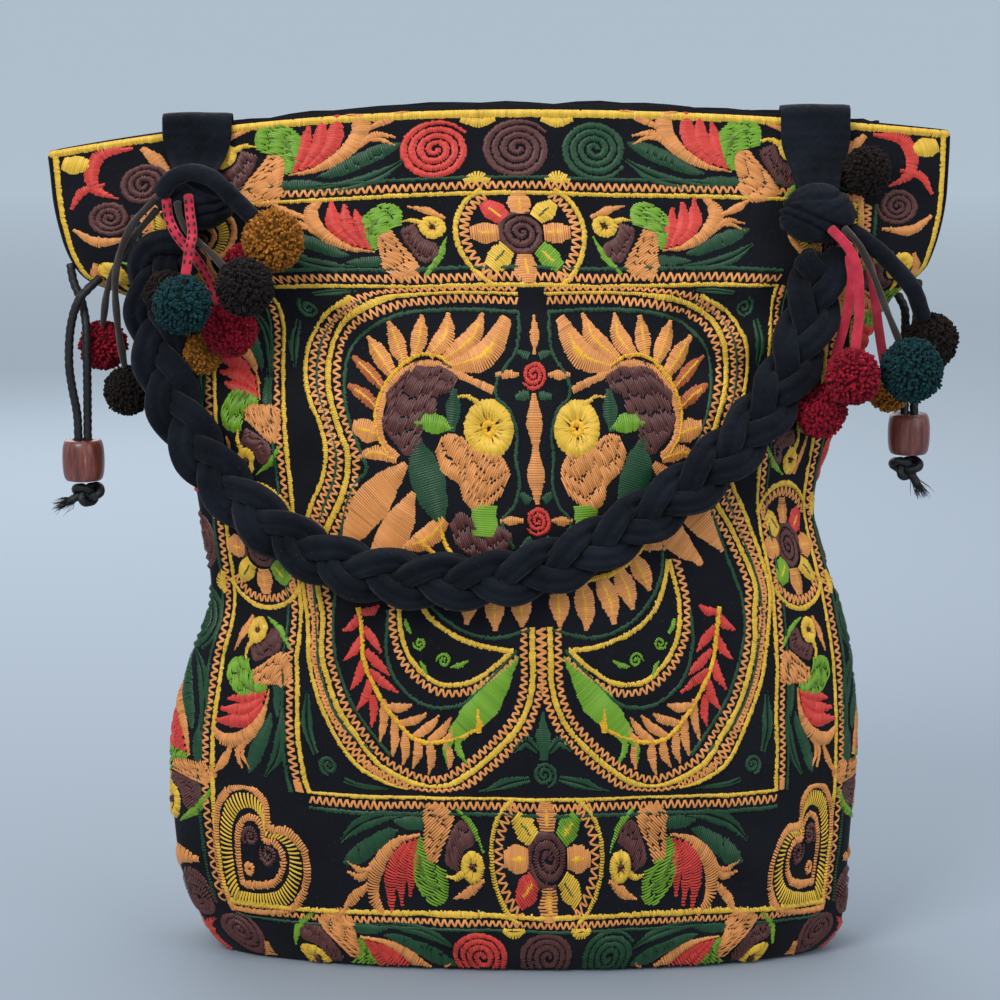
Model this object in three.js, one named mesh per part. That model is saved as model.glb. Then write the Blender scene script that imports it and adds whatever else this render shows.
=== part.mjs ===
// Embroidered cloth tote: two cloth panels sewn at the sides, a flat base, a black lining, side
// drawstrings with wooden beads, and a braided handle that falls over the front, tied with pompoms.
// Millimetres, +Z up, the front faces -Y, and the origin is the middle of the flat base.
import * as THREE from "three";

// Driving dimensions of the bag.
const clothWidth = 440; // flat width of a panel, seam to seam
const bagHeight = 415; // base to the middle of the rim
const bagDepth = 120; // front to back at the belly
const clothWall = 2; // embroidered cloth with its backing
const clearance = 0.4; // between pieces that touch
const seamGap = 1.2; // between the panels' outer faces along a side seam
const baseThickness = 2;
const liningWall = 1;
const liningRise = 2.5; // lining above the cloth's rim
const liningSlack = 6; // how far the lining hangs clear of the cloth lower down
const liningEnd = 0.84; // share of the cloth's half width that the lining reaches

// Driving dimensions of the handle.
const bandWidth = 33; // flat strap end at the rim
const bandNeck = 19; // where it gathers into the knot
const bandThickness = 2.4;
const bandRise = 7; // fold above the rim
const bandInside = 30; // length sewn inside the mouth
const knotWidth = 35;
const knotHeight = 27;
const knotDepth = 22;
const braidWidth = 26;
const strandBulge = 2; // how much wider a strand is at the braid's edge than in the middle
const braidPeriod = 73; // length in which a strand comes back to the same edge
const strandWidth = 7.4; // padded jersey
const strandThickness = 7;
const strandRise = 5.9; // how far a strand rises and dips where it crosses the others

// Driving dimensions of the hanging trim.
const suedeWidth = 4.6;
const suedeThickness = 1.6;
const roundCordThickness = 3.6;
const tailThickness = 8.4; // padded jersey ends
const drawcordThickness = 4.2;
const beadDiameter = 21;
const beadHeight = 20;
const beadHole = 9.6;
const endKnotWidth = 19;
const endKnotHeight = 13;
const frayLength = 15;
const tuftRelief = 0.06; // share of its radius by which a pompom's tufts stand out
const tuftsAround = 10;
const tuftRings = 7;

const halfWidth = clothWidth / 2;
const cinchDown = 0.2; // share of the cloth's length at which the drawstrings leave it

// The rows of a table as objects with its columns' names.
function table(columns, rows) {
  return rows.map((row) => Object.fromEntries(columns.map((name, i) => [name, row[i]])));
}

// Sections of the cloth, from the rim to the hem that is turned under the base. down is the share of
// the cloth's length, z a share of bagHeight, left, right and axis shares of halfWidth, front and
// back shares of bagDepth, pleatL and pleatR shares of halfWidth, droopL and droopR of bagHeight.
const sections = table(
  ["down", "z", "left", "right", "axis", "front", "back", "pleatL", "pleatR", "droopL", "droopR"],
  [
    [0.0, 1.0, 0.982, 0.977, 0.041, 0.105, 0.105, 0.0, 0.0, 0.05, 0.026],
    [0.09, 0.905, 0.962, 0.968, 0.041, 0.165, 0.155, 0.0, 0.0, 0.04, 0.022],
    [0.16, 0.83, 0.915, 0.935, 0.055, 0.22, 0.21, 0.0, 0.0, 0.022, 0.01],
    [0.215, 0.772, 0.815, 0.885, 0.073, 0.285, 0.27, 0.045, 0.05, 0.0, 0.0],
    [0.29, 0.7, 0.778, 0.835, 0.073, 0.37, 0.36, 0.1, 0.1, 0.0, 0.0],
    [0.365, 0.62, 0.752, 0.78, 0.076, 0.42, 0.42, 0.12, 0.12, 0.0, 0.0],
    [0.44, 0.54, 0.724, 0.742, 0.082, 0.455, 0.45, 0.12, 0.13, 0.0, 0.0],
    [0.545, 0.43, 0.7, 0.803, 0.088, 0.49, 0.48, 0.11, 0.12, 0.0, 0.0],
    [0.61, 0.36, 0.745, 0.836, 0.091, 0.505, 0.49, 0.09, 0.11, 0.0, 0.0],
    [0.7, 0.265, 0.785, 0.848, 0.095, 0.515, 0.5, 0.07, 0.1, 0.0, 0.0],
    [0.85, 0.112, 0.773, 0.832, 0.108, 0.5, 0.49, 0.06, 0.08, 0.0, 0.0],
    [0.92, 0.036, 0.715, 0.815, 0.108, 0.47, 0.46, 0.05, 0.06, 0.0, 0.0],
    [0.955, 0.0, 0.65, 0.755, 0.106, 0.4, 0.39, 0.04, 0.04, 0.0, 0.0],
    [1.0, 0.0, 0.57, 0.67, 0.106, 0.26, 0.25, 0.03, 0.03, 0.0, 0.0],
  ],
);

// Folds of the front panel: a crease from one point to another, s across the cloth from -1 to 1 and
// down its length from 0 to 1, with its width a share of halfWidth and its depth of bagDepth.
const frontFolds = [
  { name: "cinch, left", s0: -1.0, d0: 0.21, s1: -0.5, d1: 0.24, width: 0.05, depth: 0.05 },
  { name: "under the pompoms", s0: -0.8, d0: 0.3, s1: -0.45, d1: 0.26, width: 0.07, depth: 0.05 },
  { name: "cinch, right", s0: 1.0, d0: 0.2, s1: 0.4, d1: 0.225, width: 0.05, depth: 0.06 },
  { name: "right shoulder", s0: 0.92, d0: 0.33, s1: 0.45, d1: 0.27, width: 0.06, depth: 0.07 },
  { name: "waist, left", s0: -1.0, d0: 0.56, s1: -0.7, d1: 0.53, width: 0.06, depth: 0.05 },
  { name: "waist, right", s0: 1.0, d0: 0.46, s1: 0.72, d1: 0.45, width: 0.06, depth: 0.05 },
  { name: "above the hem", s0: -0.5, d0: 0.87, s1: 0.5, d1: 0.87, width: 0.05, depth: 0.02 },
];

// The handle's route, ends in the knots: x a share of halfWidth, z a share of bagHeight.
const braidRoute = [
  { x: -0.7, z: 0.866 },
  { x: -0.738, z: 0.825 },
  { x: -0.75, z: 0.775 },
  { x: -0.738, z: 0.725 },
  { x: -0.7, z: 0.66 },
  { x: -0.609, z: 0.586 },
  { x: -0.491, z: 0.53 },
  { x: -0.345, z: 0.49 },
  { x: -0.182, z: 0.475 },
  { x: 0.0, z: 0.478 },
  { x: 0.145, z: 0.499 },
  { x: 0.282, z: 0.537 },
  { x: 0.432, z: 0.59 },
  { x: 0.545, z: 0.648 },
  { x: 0.618, z: 0.702 },
  { x: 0.659, z: 0.757 },
  { x: 0.686, z: 0.81 },
  { x: 0.69, z: 0.852 },
];

const knots = {
  left: { x: -0.655, z: 0.898 },
  right: { x: 0.682, z: 0.884 },
};

// Pompoms, placed from the middle of their knot in millimetres: x to the right, out to the front, z
// up. r is the radius, and flat the share of it left front to back where one is pressed by others.
const pompoms = table(
  ["name", "knot", "colour", "x", "out", "z", "r", "flat"],
  [
    ["left_teal", "left", "teal", -3.3, 36.2, -45.4, 14, 1],
    ["left_charcoal", "left", "charcoal", 25.4, 30.3, -38, 14, 1],
    ["left_ochre", "left", "ochre", 37.8, 17.3, -17.5, 15, 0.85],
    ["left_crimson_low", "left", "crimson", 16.4, 9.8, -60.2, 13.5, 0.62],
    ["left_crimson_back", "left", "crimson", 24.2, 2.7, -31.4, 12, 0.58],
    ["left_brown_back", "left", "brown", -11.9, 16.8, -43.1, 12, 0.6],
    ["left_ochre_low", "left", "ochre", 2.4, 1, -73, 10, 0.5],
    ["left_crimson_side", "left", "crimson", -48.9, -30.7, -72.7, 12.3, 1],
    ["left_brown_side", "left", "brown", -35.9, -19.7, -93.3, 12.3, 1],
    ["right_brown_top", "right", "brown", 23.5, -6.9, 19.5, 12, 0.85],
    ["right_brown_side", "right", "brown", 57.2, -14, -62.3, 13.5, 1],
    ["right_crimson", "right", "crimson", 15.7, 21, -75.2, 13.6, 1],
    ["right_teal", "right", "teal", 44.8, 10.5, -73.4, 15.5, 1],
    ["right_ochre", "right", "ochre", 38, -18.5, -86.9, 11, 1],
    ["right_crimson_back", "right", "crimson", 2.3, 8.3, -93.2, 13, 0.75],
  ],
);

// The cords that the pompoms hang from, as [x, out, z] from the middle of their knot. A tail is a
// padded jersey end, suede is a flat strip and round is a thin round cord.
const hangers = [
  {
    name: "tail_left",
    knot: "left",
    kind: "tail",
    colour: "jersey",
    route: [
      [-14.7, 9.4, 4.8], [-9, 13.5, 11], [-1, 14.2, 14], [9, 14.8, 11.5],
      [18, 15.2, 4], [28.4, 16.4, -6.5],
    ],
  },
  {
    name: "suede_left_teal",
    knot: "left",
    kind: "suede",
    colour: "suedeRed",
    route: [[-2, 11.4, 3], [-1, 15, -5], [0.5, 21, -14], [-0.5, 27, -21], [-1.8, 32.2, -31.9]],
  },
  {
    name: "suede_left_low",
    knot: "left",
    kind: "suede",
    colour: "suedeRed",
    route: [
      [-12.5, 10, 1], [-11, 12.6, -8], [-6.5, 16.5, -16], [1, 17, -25],
      [6, 14, -34], [11.4, 11.3, -47.3],
    ],
  },
  {
    name: "cord_left_charcoal",
    knot: "left",
    kind: "round",
    colour: "suedeBrown",
    route: [[-7.2, 12, 0], [-5.5, 13, -8], [0, 14.5, -16], [8, 20, -22], [15.3, 24.7, -29.2]],
  },
  {
    name: "cord_left_side_upper",
    knot: "left",
    kind: "round",
    colour: "suedeBrown",
    route: [[-18.1, 1, -4.4], [-32, -1.7, -20.7], [-43, -11.7, -40.7], [-48.3, -25.8, -61.7]],
  },
  {
    name: "cord_left_side_lower",
    knot: "left",
    kind: "round",
    colour: "suedeBrown",
    route: [[-18.4, 3.4, 1], [-30, 4, -12], [-38, 0, -33], [-39, -9, -60], [-37, -16.3, -81.2]],
  },
  {
    name: "tail_right",
    knot: "right",
    kind: "tail",
    colour: "jersey",
    route: [[15.6, 1, -8.1], [24, 0.8, -14], [32.3, 0, -20.8], [45.9, -4, -35.9], [52.2, -9.6, -50.4]],
  },
  {
    name: "cord_right_teal",
    knot: "right",
    kind: "round",
    colour: "suedeBrown",
    route: [[11.8, 9.2, -6.5], [18, 9.5, -13], [23, 9.5, -22], [31.5, 10, -43], [38.3, 10, -58.8]],
  },
  {
    name: "suede_right_crimson",
    knot: "right",
    kind: "suede",
    colour: "suedeRed",
    route: [
      [5.4, 10.6, -6.6], [12.5, 12.8, -14], [17.5, 13.5, -24], [19, 14.5, -44],
      [17.2, 17.9, -62],
    ],
  },
  {
    name: "suede_right_back",
    knot: "right",
    kind: "suede",
    colour: "suedeRed",
    route: [[15, 5, -20], [16, 6, -32], [14, 6, -48], [10, 6.2, -64], [5.6, 7.4, -80.4]],
  },
  {
    name: "suede_right_ochre",
    knot: "right",
    kind: "suede",
    colour: "suedeRed",
    route: [[24.5, 0.5, -21.8], [27, 1, -34], [30, -4, -52], [33, -10, -66], [35.5, -14.4, -76.5]],
  },
];

// The drawstrings leave the cloth at the cinch. Each bead is placed from the seam there in
// millimetres, and the two strands of its cord and the end knot from the middle of the bead, as
// [x, out, z] in the same way.
const drawstrings = {
  left: {
    bead: [-25.1, 7.4, -80],
    front: [
      [9.9, 0.8, 88.4], [5, 4, 84], [0, 4.5, 78], [-4, 3.5, 66],
      [-5.5, 2.5, 47], [-4.5, 1.5, 36], [-2.5, 0, 22], [-2.25, 0, 9],
      [-2.25, 0, -9.4],
    ],
    back: [
      [-5, -7, 94.2], [-3.4, -5.5, 86], [0.5, -3, 77], [3, 1.5, 66],
      [3.2, 3, 55], [3.2, 3, 45], [3, 2, 36], [2.5, 0, 22],
      [2.25, 0, 9], [2.25, 0, -9.4],
    ],
    knot: [2, 0],
    fray: [-0.9, -0.44],
  },
  right: {
    bead: [9.3, 3.4, -68.7],
    front: [
      [-6.9, 0.8, 67.7], [-3.5, 0, 61], [-2.5, -3.5, 48], [-2.5, -4, 36],
      [-2.4, -3.5, 24], [-2.25, 0, 9], [-2.25, 0, -9.4],
    ],
    back: [
      [3.2, -3.4, 74], [3.4, -3.6, 66], [2.6, -3, 52], [2.4, -2.5, 36],
      [2.4, -1.5, 24], [2.25, 0, 9], [2.25, 0, -9.4],
    ],
    knot: [-1, 0],
    fray: [0.5, -0.87],
  },
};

const colours = {
  cloth: 0x14171d,
  lining: 0x0d0f13,
  jersey: 0x141a25,
  crimson: 0xa5142e,
  teal: 0x123c40,
  ochre: 0xa86a14,
  brown: 0x241a18,
  charcoal: 0x2e2627,
  suedeRed: 0xb62238,
  suedeBrown: 0x352d2a,
  drawcord: 0x0b0c0e,
  wood: 0x7a4038,
};

const bag = new THREE.Group();

function addPiece(name, geometry, colour, roughness = 0.9) {
  const material = new THREE.MeshStandardMaterial({ color: colours[colour], roughness, metalness: 0 });
  const mesh = new THREE.Mesh(geometry, material);
  mesh.name = name;
  bag.add(mesh);
  return mesh;
}

// A closed skin over rings of points, each ring the same length, with both ends capped in rungs that
// join point i to the point opposite it.
function loft(rings) {
  const count = rings[0].length;
  const positions = rings.flat().flatMap((p) => [p.x, p.y, p.z]);
  const index = [];
  const quad = (a, b, c, d) => index.push(a, b, c, a, c, d);
  for (let r = 0; r + 1 < rings.length; r++) {
    for (let i = 0; i < count; i++) {
      const next = (i + 1) % count;
      quad(r * count + i, r * count + next, (r + 1) * count + next, (r + 1) * count + i);
    }
  }
  const last = (rings.length - 1) * count;
  for (let i = 0; i < count / 2 - 1; i++) {
    const far = count - 1 - i;
    quad(i, far, far - 1, i + 1);
    quad(last + i, last + i + 1, last + far - 1, last + far);
  }
  const geometry = new THREE.BufferGeometry();
  geometry.setAttribute("position", new THREE.Float32BufferAttribute(positions, 3));
  geometry.setIndex(index);
  return facingOut(geometry);
}

// Turns every face round if the solid they close is inside out.
function facingOut(geometry) {
  const at = geometry.getAttribute("position");
  const index = geometry.getIndex().array;
  const corner = (k) => new THREE.Vector3().fromBufferAttribute(at, index[k]);
  let volume = 0;
  for (let k = 0; k < index.length; k += 3) {
    volume += corner(k).dot(corner(k + 1).cross(corner(k + 2)));
  }
  if (volume < 0) {
    for (let k = 0; k < index.length; k += 3) {
      [index[k + 1], index[k + 2]] = [index[k + 2], index[k + 1]];
    }
  }
  geometry.computeVertexNormals();
  return geometry;
}

// A column of the sections table at a share of the cloth's length, on a smooth curve.
function column(name, down) {
  let k = 1;
  while (k < sections.length - 1 && sections[k].down <= down) k++;
  const a = sections[Math.max(0, k - 2)];
  const b = sections[k - 1];
  const c = sections[k];
  const d = sections[Math.min(sections.length - 1, k + 1)];
  const span = c.down - b.down;
  const slopeB = ((c[name] - a[name]) / (c.down - a.down)) * span;
  const slopeC = ((d[name] - b[name]) / (d.down - b.down)) * span;
  const t = (down - b.down) / span;
  const t2 = t * t;
  const t3 = t2 * t;
  const values = (2 * t3 - 3 * t2 + 1) * b[name] + (3 * t2 - 2 * t3) * c[name];
  const slopes = (t3 - 2 * t2 + t) * slopeB + (t3 - t2) * slopeC;
  return values + slopes;
}

// Half of a section's outline, from the cloth's centreline to a seam, as [across, out] pairs: a
// quarter ellipse whose end is drawn in by the pleat.
function halfOutline(across, out, pleat) {
  const steps = 48;
  const pleatFrom = 0.72;
  const seam = seamGap / 2;
  const points = [];
  for (let i = 0; i <= steps; i++) {
    const turn = i / steps;
    const angle = (turn * Math.PI) / 2;
    const inward = THREE.MathUtils.smoothstep(turn, pleatFrom, 1);
    points.push([across * Math.sin(angle) - pleat * inward, seam + (out - seam) * Math.cos(angle)]);
  }
  return points;
}

// The point at a share of an outline's length.
function along(points, share) {
  const lengths = [0];
  for (let i = 1; i < points.length; i++) {
    const step = Math.hypot(points[i][0] - points[i - 1][0], points[i][1] - points[i - 1][1]);
    lengths.push(lengths[i - 1] + step);
  }
  const target = share * lengths[lengths.length - 1];
  let k = 1;
  while (k < points.length - 1 && lengths[k] < target) k++;
  const t = (target - lengths[k - 1]) / (lengths[k] - lengths[k - 1]);
  return [0, 1].map((c) => points[k - 1][c] + t * (points[k][c] - points[k - 1][c]));
}

// How deep the front panel's folds dent it. They die out over foldFade of a half panel at the seam.
const foldFade = 0.12;
const foldShallow = 0.25 * bagDepth;

function foldDepth(s, down) {
  let depth = 0;
  for (const fold of frontFolds) {
    const from = new THREE.Vector2(fold.s0 * halfWidth, fold.d0 * clothWidth);
    const to = new THREE.Vector2(fold.s1 * halfWidth, fold.d1 * clothWidth);
    const here = new THREE.Vector2(s * halfWidth, down * clothWidth);
    const run = to.clone().sub(from);
    const share = THREE.MathUtils.clamp(here.clone().sub(from).dot(run) / run.lengthSq(), 0, 1);
    const distance = here.distanceTo(from.addScaledVector(run, share));
    depth += fold.depth * bagDepth * Math.exp(-((distance / (fold.width * halfWidth)) ** 2));
  }
  return depth * THREE.MathUtils.smoothstep(1 - Math.abs(s), 0, foldFade);
}

// A point of a panel's inner face: side is -1 for the front and 1 for the back.
function clothPoint(side, s, down) {
  const axis = column("axis", down) * halfWidth;
  const edge = s < 0 ? "left" : "right";
  const letter = s < 0 ? "L" : "R";
  const across = column(edge, down) * halfWidth + (s < 0 ? axis : -axis);
  const out = column(side < 0 ? "front" : "back", down) * bagDepth;
  const pleat = column("pleat" + letter, down) * halfWidth;
  const [x, y] = along(halfOutline(across, out, Math.max(0, pleat)), Math.abs(s));
  const droop = column("droop" + letter, down) * bagHeight * s * s;
  const dent = side < 0 ? foldDepth(s, down) * Math.min(1, y / foldShallow) : 0;
  const z = clothWall + Math.max(0, column("z", down)) * (bagHeight - clothWall) - droop;
  return new THREE.Vector3(axis + Math.sign(s) * x, side * (y - dent), z);
}

// A point of the cloth out from its inner face, at right angles to it.
function clothOut(side, s, down, height) {
  const step = 0.004;
  const here = clothPoint(side, s, down);
  const acrossFrom = clothPoint(side, Math.max(-1, s - step), down);
  const acrossTo = clothPoint(side, Math.min(1, s + step), down);
  const downFrom = clothPoint(side, s, Math.max(0, down - step));
  const downTo = clothPoint(side, s, Math.min(1, down + step));
  const normal = acrossTo.sub(acrossFrom).cross(downTo.sub(downFrom)).normalize();
  return here.addScaledVector(normal, side * height);
}

const panelColumns = 22;
// Shares of the cloth's length, closer together at the cinch and at the turned hem.
const panelRows = [
  0, 0.06, 0.12, 0.165, 0.2, 0.235, 0.285, 0.34, 0.4, 0.47,
  0.54, 0.61, 0.69, 0.77, 0.85, 0.915, 0.94, 0.955, 1,
];

function panel(side) {
  const across = Array.from({ length: panelColumns + 1 }, (_, i) => -1 + (2 * i) / panelColumns);
  return loft(
    panelRows.map((down) => [
      ...across.map((s) => clothOut(side, s, down, 0)),
      ...across.map((s) => clothOut(side, -s, down, clothWall)),
    ]),
  );
}

addPiece("front_panel", panel(-1), "cloth");
addPiece("back_panel", panel(1), "cloth");

// The base fills the oval that the two turned hems leave.
function basePanel() {
  const hemGap = clearance * 2.5;
  const middle = new THREE.Vector2(column("axis", 1) * halfWidth, 0);
  const steps = 14;
  const outline = [];
  for (const side of [-1, 1]) {
    for (let i = 0; i < steps; i++) {
      const s = -side * (-1 + (2 * i) / steps);
      const p = clothPoint(side, s, 1);
      const here = new THREE.Vector2(p.x, p.y);
      const inward = middle.clone().sub(here).normalize();
      outline.push(here.addScaledVector(inward, hemGap));
    }
  }
  return new THREE.ExtrudeGeometry(new THREE.Shape(outline), { depth: baseThickness, bevelEnabled: false });
}

addPiece("base_panel", basePanel(), "cloth");

// The lining is a sack sewn in at the rim that hangs slack inside the cloth, and narrows below.
const liningSteps = 24;
const liningRows = [0, 0.12, 0.215, 0.36, 0.54, 0.72, 0.86, 0.93];
const liningNarrowsFrom = 0.7;
const liningNarrowsBy = 0.2;

function lining() {
  const outer = liningRows.map((down, row) => liningRing(down, row === 0, 0));
  const inner = liningRows.map((down, row) => liningRing(down, row === 0, liningWall));
  const floor = inner[inner.length - 1].map((p) => p.clone().setZ(p.z + liningWall));
  return loft([...outer, floor].slice(0, -1).reverse().concat([...inner.slice(0, -1), floor]));
}

function liningRing(down, atRim, inset) {
  const axis = column("axis", down) * halfWidth;
  const end = liningRows[liningRows.length - 1];
  const drawnIn = 1 - liningNarrowsBy * THREE.MathUtils.smoothstep(down, liningNarrowsFrom, end);
  const ring = [];
  for (let i = 0; i < liningSteps; i++) {
    const angle = ((i + 0.5) / liningSteps) * 2 * Math.PI;
    const half = liningHalf(Math.cos(angle) > 0, Math.sin(angle) < 0, down);
    const x = axis + (half.across * drawnIn - inset) * Math.cos(angle);
    const y = (half.out * drawnIn - inset) * Math.sin(angle);
    const droop = column(Math.cos(angle) > 0 ? "droopR" : "droopL", down) * bagHeight * Math.cos(angle) ** 2;
    const z = column("z", down) * bagHeight - droop * liningEnd + (atRim ? liningRise : 0);
    ring.push(new THREE.Vector3(x, y, z));
  }
  return ring;
}

// The lining's reach to a side and to the front or back, measured to its outer face.
function liningHalf(right, front, down) {
  const slack = clothWall + clearance + liningSlack * THREE.MathUtils.smoothstep(down, 0, cinchDown);
  const axis = column("axis", down) * halfWidth;
  const pleat = column(right ? "pleatR" : "pleatL", down) * halfWidth;
  const across = column(right ? "right" : "left", down) * halfWidth + (right ? -axis : axis) - pleat;
  return { across: across * liningEnd, out: column(front ? "front" : "back", down) * bagDepth - slack };
}

addPiece("lining", lining(), "lining");

// The furthest that the front panel stands out near a point of the front view.
const sampleColumns = 90;
const sampleRows = 70;
const sampleEnd = 0.95; // share of the cloth's length, just above the base
const frontSamples = [];
for (let i = 0; i <= sampleColumns; i++) {
  for (let j = 0; j <= sampleRows; j++) {
    frontSamples.push(clothPoint(-1, -1 + (2 * i) / sampleColumns, (j / sampleRows) * sampleEnd));
  }
}

function frontDepth(x, z, reach) {
  let depth = -clothWall;
  for (const p of frontSamples) {
    if (Math.hypot(p.x - x, p.z - z) < reach) depth = Math.min(depth, p.y);
  }
  return depth;
}

// Rings of a tube or strip along a curve, held square to a fixed direction.
function sweep(curve, stations, sectionAt, lead) {
  const rings = [];
  for (let i = 0; i <= stations; i++) {
    const t = i / stations;
    const centre = curve.getPoint(t);
    const tangent = curve.getTangent(t);
    const across = new THREE.Vector3().crossVectors(tangent, lead).normalize();
    const out = new THREE.Vector3().crossVectors(across, tangent).normalize();
    rings.push(
      sectionAt(t).map(([u, v]) => centre.clone().addScaledVector(across, u).addScaledVector(out, v)),
    );
  }
  return loft(rings);
}

function oval(width, thickness, sides) {
  return Array.from({ length: sides }, (_, i) => {
    const angle = ((i + 0.5) / sides) * 2 * Math.PI;
    return [(Math.cos(angle) * width) / 2, (Math.sin(angle) * thickness) / 2];
  });
}

function strip(width, thickness) {
  return [
    [-width / 2, -thickness / 2],
    [width / 2, -thickness / 2],
    [width / 2, thickness / 2],
    [-width / 2, thickness / 2],
  ];
}

const towardsFront = new THREE.Vector3(0, -1, 0);

// Where each knot sits, clear of the cloth behind it.
const knotAt = {};
for (const side of ["left", "right"]) {
  const x = knots[side].x * halfWidth;
  const z = knots[side].z * bagHeight;
  const y = frontDepth(x, z, knotWidth / 2) - clearance - knotDepth / 2;
  knotAt[side] = new THREE.Vector3(x, y, z);
}

// The knot is a rounded lump, fuller below, that the band goes into and the braid comes out of.
function knot() {
  const fullness = 0.25;
  const geometry = new THREE.SphereGeometry(0.5, 14, 10);
  const at = geometry.getAttribute("position");
  for (let i = 0; i < at.count; i++) {
    const p = new THREE.Vector3().fromBufferAttribute(at, i);
    const fuller = 1 - fullness * p.y;
    at.setXYZ(i, p.x * knotWidth * fuller, p.z * knotDepth * fuller, p.y * knotHeight);
  }
  geometry.deleteAttribute("normal");
  geometry.deleteAttribute("uv");
  return facingOut(geometry);
}

for (const side of ["left", "right"]) {
  addPiece("knot_" + side, knot(), "jersey").position.copy(knotAt[side]);
}

const bandSteps = 21;

// A strap end: sewn inside the mouth, folded over the rim, and gathered down to the knot.
function band(side) {
  const { x, y, z } = knotAt[side];
  const s = x / halfWidth;
  const rim = clothPoint(-1, s, 0);
  const half = bandThickness / 2;
  const shoulder = 2; // the fold's corners lie this far under its top
  const lean = 1; // and this far in from the band's two legs
  const gatherDown = 12; // below the rim, where the band has started to gather
  const gatherShare = 0.35;
  const reach = bandWidth * 0.7;
  const lining = liningHalf(x > 0, true, 0);
  const share = (x - column("axis", 0) * halfWidth) / lining.across;
  const edge = Math.abs(share) + bandWidth / 2 / lining.across;
  const insideY = -(lining.out - liningWall) * Math.sqrt(Math.max(0, 1 - edge * edge)) + clearance + half;
  const top = rim.z + bandRise;
  const outsideY = (height) => frontDepth(x, height, reach) - clearance - half;
  const neckZ = z + knotHeight / 2 + clearance * 2;
  const stations = [
    { y: insideY, z: rim.z - bandInside, width: bandWidth },
    { y: insideY, z: rim.z + liningRise, width: bandWidth },
    { y: insideY - lean, z: top - shoulder, width: bandWidth },
    { y: (insideY + outsideY(rim.z)) / 2, z: top - half, width: bandWidth },
    { y: outsideY(rim.z) + lean / 2, z: top - shoulder, width: bandWidth },
    { y: outsideY(rim.z), z: rim.z + lean, width: bandWidth },
    {
      y: outsideY(rim.z - gatherDown - shoulder),
      z: rim.z - gatherDown,
      width: THREE.MathUtils.lerp(bandWidth, bandNeck, gatherShare),
    },
    { y: Math.min(outsideY(neckZ), y + half), z: neckZ, width: bandNeck },
  ];
  const curve = new THREE.CatmullRomCurve3(
    stations.map((p) => new THREE.Vector3(x, p.y, p.z)),
    false,
    "centripetal",
  );
  const widths = stations.map((p) => p.width);
  const widthAt = (t) => {
    const place = t * (widths.length - 1);
    const k = Math.min(widths.length - 2, Math.floor(place));
    return THREE.MathUtils.lerp(widths[k], widths[k + 1], place - k);
  };
  const section = (t) => strip(widthAt(t), bandThickness).map(([u, v]) => [v, u]);
  return sweep(curve, bandSteps, section, new THREE.Vector3(1, 0, 0));
}

addPiece("band_left", band("left"), "jersey");
addPiece("band_right", band("right"), "jersey");

// The braid lies on the front of the bag from knot to knot.
function braidLine() {
  const reach = braidWidth * 0.75;
  const leftward = 3; // the braid leaves the left knot this far to the left of its middle
  const lineSteps = 60;
  const halfThick = strandRise + strandThickness / 2;
  const rest = (p) => frontDepth(p.x * halfWidth, p.z * bagHeight, reach) - clearance - halfThick;
  const start = (side) => knotAt[side].z - knotHeight / 2 - clearance * 2 - strandRise;
  const points = braidRoute.map((p) => new THREE.Vector3(p.x * halfWidth, rest(p), p.z * bagHeight));
  points[0].set(knotAt.left.x - leftward, points[0].y, start("left"));
  points[points.length - 1].set(knotAt.right.x, points[points.length - 1].y, start("right"));
  const curve = new THREE.CatmullRomCurve3(points, false, "centripetal");
  curve.arcLengthDivisions = lineSteps * 8;
  return new THREE.CatmullRomCurve3(curve.getSpacedPoints(lineSteps), false, "centripetal");
}

// One strand of three: it swings from edge to edge of the braid, and over and under the other two.
// It is fuller at the edges, where it has room.
const strandSteps = 8; // for each turn

function strand(line, number) {
  const turns = line.getLength() / braidPeriod;
  const swing = (braidWidth - strandWidth) / 2;
  const angleAt = (t) => 2 * Math.PI * (turns * t + number / 3);
  const bulgeAt = (t) => strandBulge * Math.sin(angleAt(t)) ** 2;
  const points = [];
  const steps = Math.round(turns * strandSteps);
  for (let i = 0; i <= steps; i++) {
    const t = i / steps;
    const side = Math.sin(angleAt(t));
    const tangent = line.getTangent(t);
    const across = new THREE.Vector3().crossVectors(tangent, towardsFront).normalize();
    const out = new THREE.Vector3().crossVectors(across, tangent).normalize();
    const sideways = swing * side - (Math.sign(side) * bulgeAt(t)) / 2;
    const rise = strandRise * Math.sin(2 * angleAt(t));
    points.push(line.getPoint(t).addScaledVector(across, sideways).addScaledVector(out, rise));
  }
  const curve = new THREE.CatmullRomCurve3(points, false, "centripetal");
  return sweep(curve, steps, (t) => oval(strandWidth + bulgeAt(t), strandThickness, 6), towardsFront);
}

const braid = braidLine();
for (let number = 0; number < 3; number++) {
  addPiece("braid_strand_" + (number + 1), strand(braid, number), "jersey");
}

// A pompom's trimmed wool: tufts that stand out in turn all over a ball.
function pompom(r, flat) {
  const geometry = new THREE.SphereGeometry(r, tuftsAround, tuftRings);
  const at = geometry.getAttribute("position");
  for (let i = 0; i < at.count; i++) {
    const p = new THREE.Vector3().fromBufferAttribute(at, i);
    const around = Math.round((Math.atan2(p.z, p.x) / (2 * Math.PI)) * tuftsAround);
    const ring = Math.round((Math.acos(THREE.MathUtils.clamp(p.y / r, -1, 1)) / Math.PI) * tuftRings);
    const pole = ring === 0 || ring === tuftRings;
    p.multiplyScalar(pole ? 1 : 1 + tuftRelief * ((around + ring) % 2 === 0 ? 0 : -1));
    at.setXYZ(i, p.x, p.z * flat, p.y);
  }
  geometry.deleteAttribute("normal");
  geometry.deleteAttribute("uv");
  return facingOut(geometry);
}

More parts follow.
